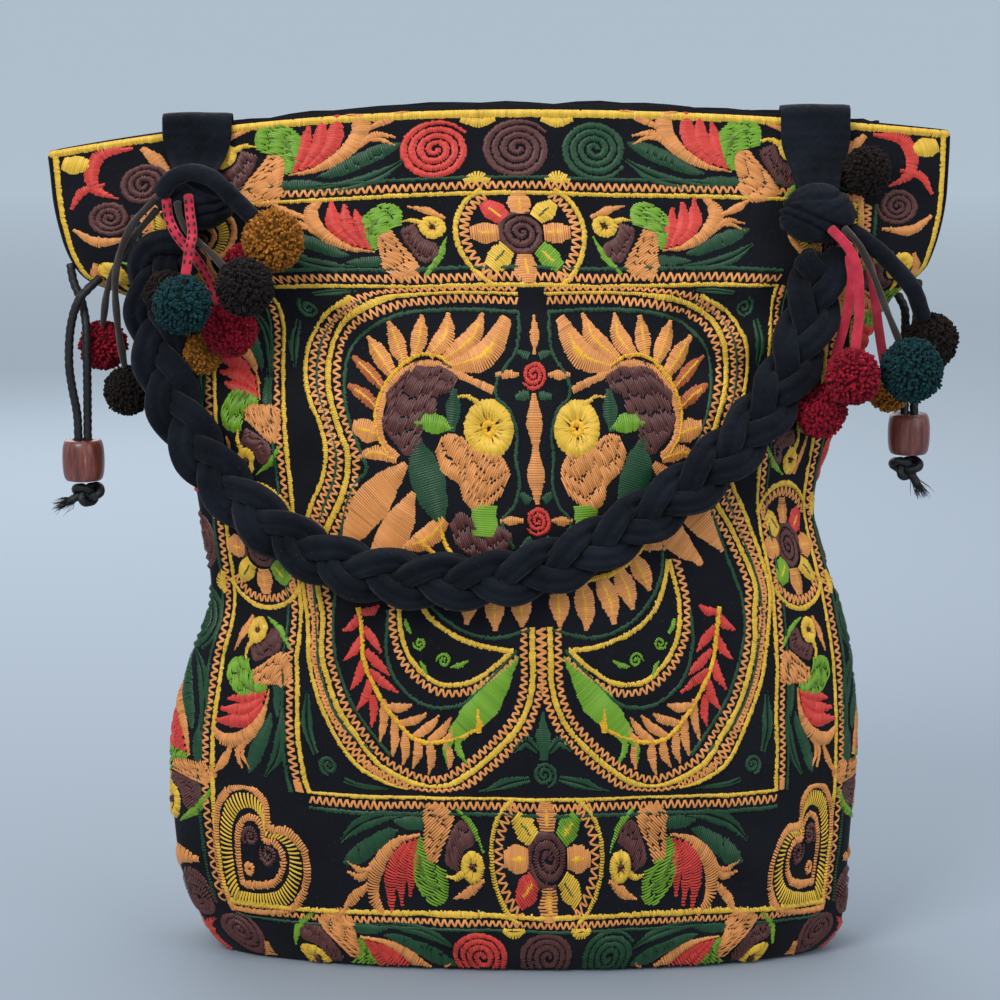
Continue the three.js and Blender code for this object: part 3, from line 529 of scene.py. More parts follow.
def new_material(name):
    """A material with its shader and a way to add nodes and links."""
    material = bpy.data.materials.new(name)
    material.use_nodes = True
    tree = material.node_tree
    return material, tree, tree.nodes["Principled BSDF"]


def node(tree, kind, **settings):
    """A node with its sockets and properties set by name."""
    made = tree.nodes.new(kind)
    for key, value in settings.items():
        if hasattr(made, key):
            setattr(made, key, value)
        else:
            made.inputs[key.replace("_", " ").title()].default_value = value
    return made


def ramp(tree, source, stops):
    """A colour ramp on a value. stops is a list of (place, colour)."""
    made = tree.nodes.new("ShaderNodeValToRGB")
    while len(made.color_ramp.elements) < len(stops):
        made.color_ramp.elements.new(0.5)
    for element, (place, rgb) in zip(made.color_ramp.elements, stops):
        element.position = place
        element.color = (*rgb, 1)
    tree.links.new(source, made.inputs["Fac"])
    return made.outputs["Color"]


def scaled(rgb, by, mix=0.0):
    """A colour made darker or lighter, and greyer by a mix."""
    grey = sum(rgb) / 3
    return tuple(min(1, (c * (1 - mix) + grey * mix) * by) for c in rgb)


def bump(tree, shader, height, strength, distance):
    """Adds a bump to a shader, after any it has."""
    made = node(tree, "ShaderNodeBump")
    made.inputs["Strength"].default_value = strength
    made.inputs["Distance"].default_value = distance
    tree.links.new(height, made.inputs["Height"])
    if shader.inputs["Normal"].links:
        tree.links.new(shader.inputs["Normal"].links[0].from_socket, made.inputs["Normal"])
    tree.links.new(made.outputs["Normal"], shader.inputs["Normal"])


def surface(shader, roughness, specular, sheen=0.0, sheen_roughness=0.5):
    """Sets how matt, how glossy and how napped a finish is, on the shader's own sockets."""
    shader.inputs["Roughness"].default_value = roughness
    shader.inputs["Specular IOR Level"].default_value = specular
    shader.inputs["Sheen Weight"].default_value = sheen
    shader.inputs["Sheen Roughness"].default_value = sheen_roughness


def noise(tree, vector, scale, detail=3.0, roughness=0.55):
    """A noise texture's value."""
    made = tree.nodes.new("ShaderNodeTexNoise")
    made.inputs["Scale"].default_value = scale
    made.inputs["Detail"].default_value = detail
    made.inputs["Roughness"].default_value = roughness
    tree.links.new(vector, made.inputs["Vector"])
    return made.outputs["Fac"]


def wave(tree, vector, scale, direction, distortion=0.0):
    """A band texture's value."""
    made = tree.nodes.new("ShaderNodeTexWave")
    made.wave_type = "BANDS"
    made.bands_direction = direction
    made.inputs["Scale"].default_value = scale
    made.inputs["Distortion"].default_value = distortion
    tree.links.new(vector, made.inputs["Vector"])
    return made.outputs["Fac"]


def math_node(tree, operation, a, b):
    """A value worked out from two others."""
    made = tree.nodes.new("ShaderNodeMath")
    made.operation = operation
    for socket, value in zip(made.inputs, (a, b)):
        if isinstance(value, (int, float)):
            socket.default_value = value
        else:
            tree.links.new(value, socket)
    return made.outputs[0]


def woven_material(name, rgb, threads, flat_map, sheen=0.04, lint=0.4):
    """Plain woven cotton, threads a metre, with a little pale lint. flat_map follows the panel."""
    material, tree, shader = new_material(name)
    coords = tree.nodes.new("ShaderNodeTexCoord")
    place = coords.outputs["UV" if flat_map else "Object"]
    broad = noise(tree, coords.outputs["Object"], 28, 4)
    base = ramp(tree, broad, [(0.3, scaled(rgb, 0.72)), (0.7, scaled(rgb, 1.4))])
    fluff = noise(tree, coords.outputs["Object"], 900, 1)
    specks = ramp(tree, fluff, [(0.71, (0, 0, 0)), (0.76, (lint, lint, lint))])
    mix = tree.nodes.new("ShaderNodeMix")
    mix.data_type = "RGBA"
    tree.links.new(specks, mix.inputs["Factor"])
    tree.links.new(base, mix.inputs[6])
    mix.inputs[7].default_value = (*scaled(rgb, 9, 0.5), 1)
    tree.links.new(mix.outputs[2], shader.inputs["Base Color"])
    warp = wave(tree, place, threads / 20, "X")
    weft = wave(tree, place, threads / 20, "Y")
    weave = math_node(tree, "MAXIMUM", warp, weft)
    bump(tree, shader, noise(tree, coords.outputs["Object"], 160, 3), 0.25, 0.0006)
    bump(tree, shader, weave, 0.45, 0.00025)
    surface(shader, 0.9, 0.16, sheen)
    return material


def jersey_material(name, rgb):
    """Napped cotton jersey: matt, slightly blue, with woven ribs, fluff and specks of lint."""
    material, tree, shader = new_material(name)
    coords = tree.nodes.new("ShaderNodeTexCoord")
    place = coords.outputs["Object"]
    broad = noise(tree, place, 45, 4)
    base = ramp(tree, broad, [(0.3, scaled(rgb, 0.6)), (0.72, scaled(rgb, 1.75))])
    specks = ramp(tree, noise(tree, place, 700, 2), [(0.68, (0, 0, 0)), (0.78, (0.55, 0.55, 0.55))])
    mix = tree.nodes.new("ShaderNodeMix")
    mix.data_type = "RGBA"
    tree.links.new(specks, mix.inputs["Factor"])
    tree.links.new(base, mix.inputs[6])
    mix.inputs[7].default_value = (*scaled(rgb, 7, 0.35), 1)
    tree.links.new(mix.outputs[2], shader.inputs["Base Color"])
    weave = math_node(tree, "MULTIPLY", wave(tree, place, 62, "X", 3), wave(tree, place, 62, "Z", 3))
    bump(tree, shader, noise(tree, place, 260, 5, 0.62), 0.7, 0.0014)
    bump(tree, shader, weave, 0.6, 0.0005)
    surface(shader, 0.93, 0.12, 0.08, 0.45)
    return material


def thread_material(name, rgb):
    """Shiny embroidery thread whose shade changes from stitch to stitch."""
    material, tree, shader = new_material(name)
    shade = node(tree, "ShaderNodeAttribute", attribute_name="shade")
    coords = tree.nodes.new("ShaderNodeTexCoord")
    patch = noise(tree, coords.outputs["Object"], 60, 2)
    tone = math_node(tree, "ADD", math_node(tree, "MULTIPLY", patch, 0.35), shade.outputs["Fac"])
    colours = [
        (0.12, scaled(rgb, 0.42)), (0.5, scaled(rgb, 0.84)), (0.8, rgb), (1.0, scaled(rgb, 1.12, 0.06)),
    ]
    tree.links.new(ramp(tree, tone, colours), shader.inputs["Base Color"])
    bump(tree, shader, noise(tree, coords.outputs["Object"], 1500, 2), 0.25, 0.0002)
    surface(shader, 0.42, 0.45, 0.12)
    return material


def wool_material(name, rgb):
    """Cut wool with painted shade between the tufts, so that it is dark between them and pale at their ends.
    """
    material, tree, shader = new_material(name)
    shade = node(tree, "ShaderNodeAttribute", attribute_name="shade")
    coords = tree.nodes.new("ShaderNodeTexCoord")
    fluff = noise(tree, coords.outputs["Object"], 900, 2)
    tone = math_node(tree, "ADD", math_node(tree, "MULTIPLY", fluff, 0.25), shade.outputs["Fac"])
    # The low stops are painted shade, which the pompoms reach at the roots of their tufts and on their core.
    colours = [
        (0.1, scaled(rgb, 0.16)), (0.55, scaled(rgb, 0.75)), (0.85, scaled(rgb, 1.25)),
        (1, scaled(rgb, 1.9, 0.12)),
    ]
    tree.links.new(ramp(tree, tone, colours), shader.inputs["Base Color"])
    bump(tree, shader, fluff, 0.4, 0.0004)
    surface(shader, 0.9, 0.12, 0.08)
    return material


def suede_material(name, rgb):
    """Suede with a short nap that shades in patches."""
    material, tree, shader = new_material(name)
    coords = tree.nodes.new("ShaderNodeTexCoord")
    nap = noise(tree, coords.outputs["Object"], 120, 4)
    tree.links.new(
        ramp(tree, nap, [(0.3, scaled(rgb, 0.62)), (0.55, rgb), (0.75, scaled(rgb, 1.35, 0.1))]),
        shader.inputs["Base Color"],
    )
    bump(tree, shader, noise(tree, coords.outputs["Object"], 1400, 3), 0.4, 0.0003)
    surface(shader, 0.82, 0.25, 0.35)
    return material


def cord_material(name, rgb):
    """Twisted polyester cord: dark with a soft gloss on its turns."""
    material, tree, shader = new_material(name)
    coords = tree.nodes.new("ShaderNodeTexCoord")
    fibre = noise(tree, coords.outputs["Object"], 700, 3)
    tone = ramp(tree, fibre, [(0.3, scaled(rgb, 0.6)), (0.75, scaled(rgb, 2.6))])
    tree.links.new(tone, shader.inputs["Base Color"])
    bump(tree, shader, fibre, 0.5, 0.0004)
    surface(shader, 0.5, 0.4)
    return material


def wood_material(name, rgb, grain):
    """Stained wood with pale upright streaks under a satin varnish."""
    material, tree, shader = new_material(name)
    coords = tree.nodes.new("ShaderNodeTexCoord")
    stretch = tree.nodes.new("ShaderNodeMapping")
    stretch.inputs["Scale"].default_value = (1, 1, 0.12)
    tree.links.new(coords.outputs["Object"], stretch.inputs["Vector"])
    streaks = noise(tree, stretch.outputs["Vector"], 420, 5, 0.65)
    stops = [(0.34, scaled(rgb, 0.45)), (0.5, rgb), (0.62, scaled(rgb, 1.5)), (0.74, grain)]
    tree.links.new(ramp(tree, streaks, stops), shader.inputs["Base Color"])
    bump(tree, shader, streaks, 0.15, 0.0003)
    shader.inputs["Roughness"].default_value = 0.36
    shader.inputs["Coat Weight"].default_value = 0.35
    shader.inputs["Coat Roughness"].default_value = 0.22
    return material


MATERIALS = {}


def finish_of(name):
    """The material of that name, made once."""
    if name in MATERIALS:
        return MATERIALS[name]
    colours = bpy.context.scene.bag_colours
    makers = {
        "cotton": lambda: woven_material("cotton", tuple(colours.cotton), 1500, True),
        "hem": lambda: woven_material("hem_cotton", tuple(colours.cotton), 1500, False),
        "lining": lambda: woven_material("lining_cotton", tuple(colours.lining), 1700, False, 0.04, 0.3),
        "jersey": lambda: jersey_material("jersey", tuple(colours.jersey)),
        "suede_red": lambda: suede_material("crimson_suede", tuple(colours.suede_red)),
        "suede_brown": lambda: suede_material("brown_suede", tuple(colours.suede_brown)),
        "drawcord": lambda: cord_material("twisted_cord", tuple(colours.drawcord)),
        "wood": lambda: wood_material("stained_wood", tuple(colours.wood), tuple(colours.grain)),
    }
    for thread in ("gold", "sun", "peach", "rust", "coral", "mauve", "lime", "olive", "green"):
        makers[thread] = lambda c=thread: thread_material(c + "_thread", tuple(getattr(colours, c)))
    for wool in ("teal", "charcoal", "ochre", "crimson", "brown"):
        makers["wool_" + wool] = lambda c=wool: wool_material(c + "_wool", tuple(getattr(colours, c)))
    MATERIALS[name] = makers[name]()
    return MATERIALS[name]


# Stage.


def build_stage():
    """The camera, the lights and a plain pale floor."""
    scene = bpy.context.scene
    scene.view_settings.view_transform = "Standard"
    colours = scene.bag_colours
    distance, elevation, target = 1.5, math.radians(10), Vector((0, 0, 0.224))
    camera = bpy.data.objects.new("camera", bpy.data.cameras.new("camera"))
    camera.data.sensor_width = 36
    camera.data.lens = 110.2
    back = Vector((0, -math.cos(elevation), math.sin(elevation)))
    camera.location = target + back * distance
    camera.rotation_euler = (-back).to_track_quat("-Z", "Y").to_euler()
    scene.collection.objects.link(camera)
    scene.camera = camera

    lights = (
        ("key", (-0.9, -1.5, 1.5), 0.9, 23, (1.0, 0.985, 0.96)),
        ("fill", (1.3, -1.3, 0.9), 1.3, 7, (0.95, 0.98, 1.0)),
        ("top", (0.1, 0.2, 1.7), 1.4, 11, (1.0, 1.0, 1.0)),
        ("rear", (-0.6, 1.5, 1.1), 1.2, 8, (0.96, 0.98, 1.0)),
    )
    for name, place, size, power, tint in lights:
        data = bpy.data.lights.new(name, "AREA")
        data.energy, data.size, data.color = power, size, tint
        lamp = bpy.data.objects.new(name, data)
        lamp.location = place
        lamp.rotation_euler = (Vector((0, 0, 0.2)) - Vector(place)).to_track_quat("-Z", "Y").to_euler()
        scene.collection.objects.link(lamp)

    world = bpy.data.worlds.new("studio")
    scene.world = world
    world.use_nodes = True
    world.node_tree.nodes["Background"].inputs["Color"].default_value = (0.9, 0.95, 1.0, 1)
    world.node_tree.nodes["Background"].inputs["Strength"].default_value = 0.6

    reach = 600
    mesh = bpy.data.meshes.new("floor")
    corners = [(-reach, -reach, 0), (reach, -reach, 0), (reach, reach, 0), (-reach, reach, 0)]
    mesh.from_pydata(corners, [], [(0, 1, 2, 3)])
    floor = bpy.data.objects.new("floor", mesh)
    floor.location.z = -0.0004
    scene.collection.objects.link(floor)
    material, tree, shader = new_material("floor_paper")
    coords = tree.nodes.new("ShaderNodeTexCoord")
    split = tree.nodes.new("ShaderNodeSeparateXYZ")
    tree.links.new(coords.outputs["Object"], split.inputs[0])
    far = math_node(tree, "DIVIDE", split.outputs["Y"], 5.0)
    paper = ramp(tree, far, [(0.0, tuple(colours.floor)), (1.0, tuple(colours.backdrop))])
    tree.links.new(paper, shader.inputs["Base Color"])
    shader.inputs["Roughness"].default_value = 0.9
    mesh.materials.append(material)


# Cords.


def oval(wide, thick, sides=10):
    """One section of a round cord."""
    turn = (np.arange(sides) + 0.5) / sides * 2 * math.pi
    return np.stack([np.cos(turn) * wide / 2, np.sin(turn) * thick / 2], axis=1)


def strip_section(wide, thick):
    """One section of a flat strip with rounded edges."""
    turn = (np.arange(16) + 0.5) / 16 * 2 * math.pi
    corner = thick * 0.42
    x = np.sign(np.cos(turn)) * (wide / 2 - corner) + np.cos(turn) * corner
    y = np.sign(np.sin(turn)) * (thick / 2 - corner) + np.sin(turn) * corner
    return np.stack([x, y], axis=1)


def twisted_sections(count, step, wide, lay, lobes=3, sides=16):
    """Sections of a twisted rope whose lobes turn once in a lay's length."""
    turn = (np.arange(sides) + 0.5) / sides * 2 * math.pi
    spin = np.arange(count)[:, None] * step / lay * 2 * math.pi
    radius = wide / 2 * (0.78 + 0.24 * np.abs(np.cos((turn[None] - spin) * lobes / 2)))
    return np.stack([np.cos(turn) * radius, np.sin(turn) * radius], axis=-1)


def padded_sections(count, wide, thick, seed, sides=18, depth=0.05):
    """Sections of a padded jersey roll with lengthwise creases that wander."""
    rng = np.random.default_rng(seed)
    turn = (np.arange(sides) + 0.5) / sides * 2 * math.pi
    t = np.linspace(0, 1, count)[:, None]
    swell = np.ones((count, sides))
    for waves in (3, 5, 8):
        phase, drift = rng.uniform(0, 2 * math.pi), rng.uniform(-6, 6)
        swell += depth / waves * 2.2 * np.cos(waves * turn[None] + phase + drift * t * 3)
    swell += depth * 0.35 * np.sin(2 * math.pi * t * count / 9 + rng.uniform(0, 6))
    return np.stack([np.cos(turn) * wide / 2 * swell, np.sin(turn) * thick / 2 * swell], axis=-1)


SLOTS = {"tail": "jersey", "suede": "suede_red", "round": "suede_brown"}
TOWARDS_FRONT = (0, -1, 0)
ROUTE_STEP = 1.0  # from one point of a cord's route to the next
DRAWCORD_LAY = 11  # the length in which a drawstring's twist turns once


def run_of(line):
    """The length of a line of points."""
    return np.linalg.norm(np.diff(line, axis=0), axis=1).sum()


def build_hanger(hanger, sizes):
    """One of the cords that the pompoms hang from."""
    origin = centre_of("knot_" + hanger["knot"])
    kind = hanger["kind"]
    line = spline(placed(origin, hanger["route"]), ROUTE_STEP)
    material = finish_of(SLOTS[kind])
    if kind == "tail":
        wide = sizes["tail_thickness"]
        sections = padded_sections(len(line), wide, wide, len(hanger["node"]))
        points, faces = sweep(line, sections, TOWARDS_FRONT)
    elif kind == "suede":
        wide = sizes["suede_width"]
        section = strip_section(wide, sizes["suede_thickness"])
        points, faces = sweep(line, np.repeat(section[None], len(line), axis=0), TOWARDS_FRONT)
    else:
        wide = sizes["round_cord"]
        points, faces = sweep(line, twisted_sections(len(line), ROUTE_STEP, wide, 40, 2, 12))
    piece = make_piece("hanger_" + hanger["node"], points, faces, material, [hanger["node"]])
    return line


def build_suede_stitches(lines, sizes):
    """Black stitches along both edges of the suede strips in front."""
    parts = []
    for line in lines:
        across, out = frames_along(line, TOWARDS_FRONT)
        for k in range(3, len(line) - 3, 4):
            for edge in (-1, 1):
                middle = line[k] + across[k] * edge * sizes["suede_width"] * 0.3
                middle = middle + out[k] * sizes["suede_thickness"] * 0.5
                ahead = unit(line[k + 1] - line[k - 1])
                dash = np.stack([middle - ahead * 0.8, middle + out[k] * 0.35, middle + ahead * 0.8])
                sections = np.repeat(oval(0.95, 0.8, 6)[None], 3, axis=0)
                points, faces = sweep(dash, sections, None)
                parts.append((points, faces, 0.2))
    points, faces, values = joined(parts)
    make_piece("suede_stitches", points, faces, finish_of("drawcord"), (), values)


def build_drawstring(side, sizes):
    """The two strands of one side's drawstring."""
    bead = centre_of("bead_" + side)
    for strand in ("front", "back"):
        route = DRAWSTRINGS[side][strand]
        line = spline(placed(bead, route), ROUTE_STEP)
        wide = sizes["drawcord"]
        points, faces = sweep(line, twisted_sections(len(line), ROUTE_STEP, wide * 1.04, DRAWCORD_LAY))
        name = "drawstring_" + side + "_" + strand
        piece = make_piece(
            "cord_" + side + "_" + strand, points, faces, finish_of("drawcord"), [name]
        )


def build_bead(side, sizes):
    """A turned barrel bead with rounded shoulders and a hole for both strands."""
    low, high = (np.array(c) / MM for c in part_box("bead_" + side))
    middle, half = (low + high) / 2, (high - low)[2] / 2
    radius, hole = (high - low)[0] / 2, 4.8
    turn = np.linspace(0, math.pi, 15)
    outer = [(radius * (0.7 + 0.3 * math.sin(a) ** 0.55), half * math.cos(a)) for a in turn]
    lip = [(hole + 0.6, half), (hole, half - 0.7), (hole, -half + 0.7), (hole + 0.6, -half)]
    profile = np.array(outer + lip[::-1])
    sides = 40
    around = np.arange(sides) / sides * 2 * math.pi
    rings = np.stack([
        np.stack([r * np.cos(around), r * np.sin(around), np.full(sides, z)], axis=1) for r, z in profile
    ])
    faces = grid_quads(len(profile), sides, closed=True).tolist()
    last = (len(profile) - 1) * sides
    faces += [[last + i, last + (i + 1) % sides, (i + 1) % sides, i] for i in range(sides)]
    points = rings.reshape(-1, 3) + middle
    faces = face_out(points, faces)
    make_piece("wooden_bead_" + side, points, faces, finish_of("wood"), ["bead_" + side])


def build_end_knot(side, sizes):
    """The overhand knot under a bead, with the frayed ends of the cord."""
    low, high = (np.array(c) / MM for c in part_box("cord_knot_" + side))
    fray = np.array([DRAWSTRINGS[side]["fray"][0], 0, DRAWSTRINGS[side]["fray"][1]])
    bead = centre_of("bead_" + side)
    bead_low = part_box("bead_" + side)[0][2] / MM
    middle = np.array([bead[0] + (2 if side == "left" else -1), bead[1], bead_low - 6.5])
    t = np.linspace(0, 2 * math.pi, 40)
    loop = np.stack([
        (np.sin(t) + 2 * np.sin(2 * t)) * 2.3, -np.sin(3 * t) * 2.6, (np.cos(t) - 2 * np.cos(2 * t)) * 1.55
    ], axis=1)
    line = spline(loop + middle, 0.9)
    wide = sizes["drawcord"] * 1.02
    parts = [(*sweep(line, twisted_sections(len(line), 0.9, wide, DRAWCORD_LAY)), 0.5)]
    rng = np.random.default_rng(5 if side == "left" else 6)
    root = middle + np.array([fray[0] * 5, 0, fray[2] * 3.5])
    reach = 14.0
    stub = spline(np.stack([middle, root, root + fray * reach * 0.45]), 0.8)
    parts.append((*sweep(stub, twisted_sections(len(stub), 0.8, wide, DRAWCORD_LAY)), 0.4))
    for _ in range(90):
        spread = rng.normal(0, 0.2, 3)
        start = root + fray * reach * 0.3 + rng.normal(0, 0.8, 3)
        tip = start + unit(fray + spread) * reach * rng.uniform(0.4, 0.72)
        bend = (start + tip) / 2 + rng.normal(0, 0.4, 3)
        hair = np.stack([start, bend, tip])
        sections = np.stack([oval(0.42, 0.42, 3), oval(0.34, 0.34, 3), oval(0.12, 0.12, 3)])
        parts.append((*sweep(hair, sections, None, "flat"), rng.uniform(0.2, 0.8)))
    points, faces, values = joined(parts)
    points = np.clip(points, low - 3, high + 3)
    make_piece(
        "tied_end_" + side, points, faces, finish_of("drawcord"), ["cord_knot_" + side], values
    )


# Cloth pieces.


def build_panel(side, sizes):
    """One embroidered panel's ground cloth, with its wall and its turned edges."""
    cloth = cloth_of(side)
    count = 85
    u, v = np.meshgrid(np.linspace(-cloth.half, cloth.half, count), np.linspace(0, cloth.width, count))
    outer = cloth.at(u, v)
    inner = cloth.at(u, v, -sizes["cloth_wall"])
    inner[..., 1] = np.where(cloth.side * inner[..., 1] < 0.2, cloth.side * 0.2, inner[..., 1])
    points = np.vstack([outer.reshape(-1, 3), inner.reshape(-1, 3)])
    quads = grid_quads(count, count)
    faces = quads.tolist() + (quads[:, ::-1] + count * count).tolist()
    total = count * count
    border = (
        [(0, k) for k in range(count)] + [(k, count - 1) for k in range(1, count)]
        + [(count - 1, k) for k in range(count - 2, -1, -1)] + [(k, 0) for k in range(count - 2, 0, -1)]
    )
    ring = [i * count + j for i, j in border]
    for a, b in zip(ring, ring[1:] + ring[:1]):
        faces.append([b, a, a + total, b + total])
    flat = np.tile(np.stack([u.ravel(), v.ravel()], axis=1), (2, 1))
    name = "front" if side < 0 else "back"
    piece = make_piece(
        name + "_cloth", points, face_out(points, faces), finish_of("cotton"), [name + "_panel"],
        flat=flat,
    )


def build_seams(sizes):
    """The rolled side seams that join the two panels."""
    top, foot, edge, roll = 3, 418, 219.5, 3.4
    for s, name in ((-1, "left"), (1, "right")):
        v = np.linspace(top, foot, 130)
        front = cloth_of(-1).at(np.full_like(v, s * edge), v)
        back = cloth_of(1).at(np.full_like(v, s * edge), v)
        line = respace((front + back) / 2, 2.5)
        points, faces = sweep(line, padded_sections(len(line), roll, roll, 31 + s, 10, 0.08))
        points[:, 2] = np.maximum(points[:, 2], 0.1)
        make_piece("side_seam_" + name, points, faces, finish_of("hem"))


def lining_half(right, front, down, sizes):
    """The lining's reach to a side and to the front or back."""
    half, depth = sizes["cloth_width"] / 2, sizes["bag_depth"]
    slack = sizes["cloth_wall"] + 0.4 + 6 * smoothstep(down, 0, 0.2)
    axis = column("axis", down) * half
    edge = "right" if right else "left"
    pleat = column("pleat_" + edge, down) * half
    across = column(edge, down) * half + (-axis if right else axis) - pleat
    return across * 0.84, column("front" if front else "back", down) * depth - slack


def build_lining(sizes):
    """The black cotton sack inside, ruffled a little where it shows above the rim."""
    half, height = sizes["cloth_width"] / 2, sizes["bag_height"]
    rows = (0.0, 0.02, 0.05, 0.08, 0.12, 0.16, 0.215, 0.29, 0.36, 0.45, 0.54, 0.63, 0.72, 0.8, 0.86, 0.9,
        0.93)
    around = 96
    rng = np.random.default_rng(21)
    waves = [(rng.integers(5, 34), rng.uniform(0, 2 * math.pi), rng.uniform(0.4, 1)) for _ in range(9)]

    def ring(down, inset, first):
        points = []
        for k in range(around):
            angle = (k + 0.5) / around * 2 * math.pi
            right, front = math.cos(angle) > 0, math.sin(angle) < 0
            across, out = lining_half(right, front, down, sizes)
            narrow = 1 - 0.2 * smoothstep(down, 0.7, 0.93)
            ruffle = sum(a * math.sin(n * angle + p) for n, p, a in waves) / 3
            slack = ruffle * (0.35 + 2.2 * smoothstep(down, 0.03, 0.3))
            droop = column("droop_right" if right else "droop_left", down) * height
            droop = droop * math.cos(angle) ** 2 * 0.84
            z = column("z", down) * height - droop + (2.5 + 0.8 * ruffle if first else 0)
            x = column("axis", down) * half + (across * narrow - inset) * math.cos(angle)
            points.append((x, (out * narrow - inset - abs(slack)) * math.sin(angle), z))
        return points

    outer = [ring(d, 0, r == 0) for r, d in enumerate(rows)]
    inner = [ring(d, 1, r == 0) for r, d in enumerate(rows)]
    rings = np.array(outer[::-1] + inner)
    rings[-1, :, 2] += 1
    points = rings.reshape(-1, 3)
    faces = grid_quads(len(rings), around, closed=True).tolist()
    last = (len(rings) - 1) * around
    faces.append(list(range(around))[::-1])
    faces.append([last + k for k in range(around)])
    piece = make_piece(
        "lining_cloth", points, face_out(points, faces), finish_of("lining"), ["lining"]
    )


# Embroidery.


# How the chart settles on the cloth: its depth, the cloth's depth, and how far the left and the right
# edge of the middle square move across.
CHART_FIT = np.array((
    (0, 0, 0, 0), (23, 18.5, -2, 2), (46, 39, -5, 6), (69, 57.5, -7, 9), (94, 82.5, -8.4, 11),
    (102, 86.5, -8.4, 11), (139, 126, -8, 12), (203, 194, -7, 14), (240, 231, -6.5, 15), (270, 261, -5, 11),
    (300, 291, 0.5, 7.5), (332, 323.5, 6, 8.5), (346, 329, 7.5, 9), (355, 338.5, 7.5, 9),
    (371, 360.5, 7, 8),
    (392, 391, 3, 3), (417, 411, 1, 1), (440, 440, 0, 0),
))
# How much of that move a place takes, by its distance from the middle.
CHART_SPREAD = np.array(((0, 0), (60, 0.42), (100, 0.8), (127, 1), (150, 0.55), (173, 0.15), (220, 0)))


def settled(points):
    """Places of the chart as places of the cloth."""
    u, v = points[:, 0], points[:, 1]
    depth, below, left, right = CHART_FIT.T
    move = np.where(u < 0, np.interp(v, depth, left), np.interp(v, depth, right))
    move = move * np.interp(np.abs(u), *CHART_SPREAD.T)
    return np.stack([u + move, np.interp(v, depth, below)], axis=1)


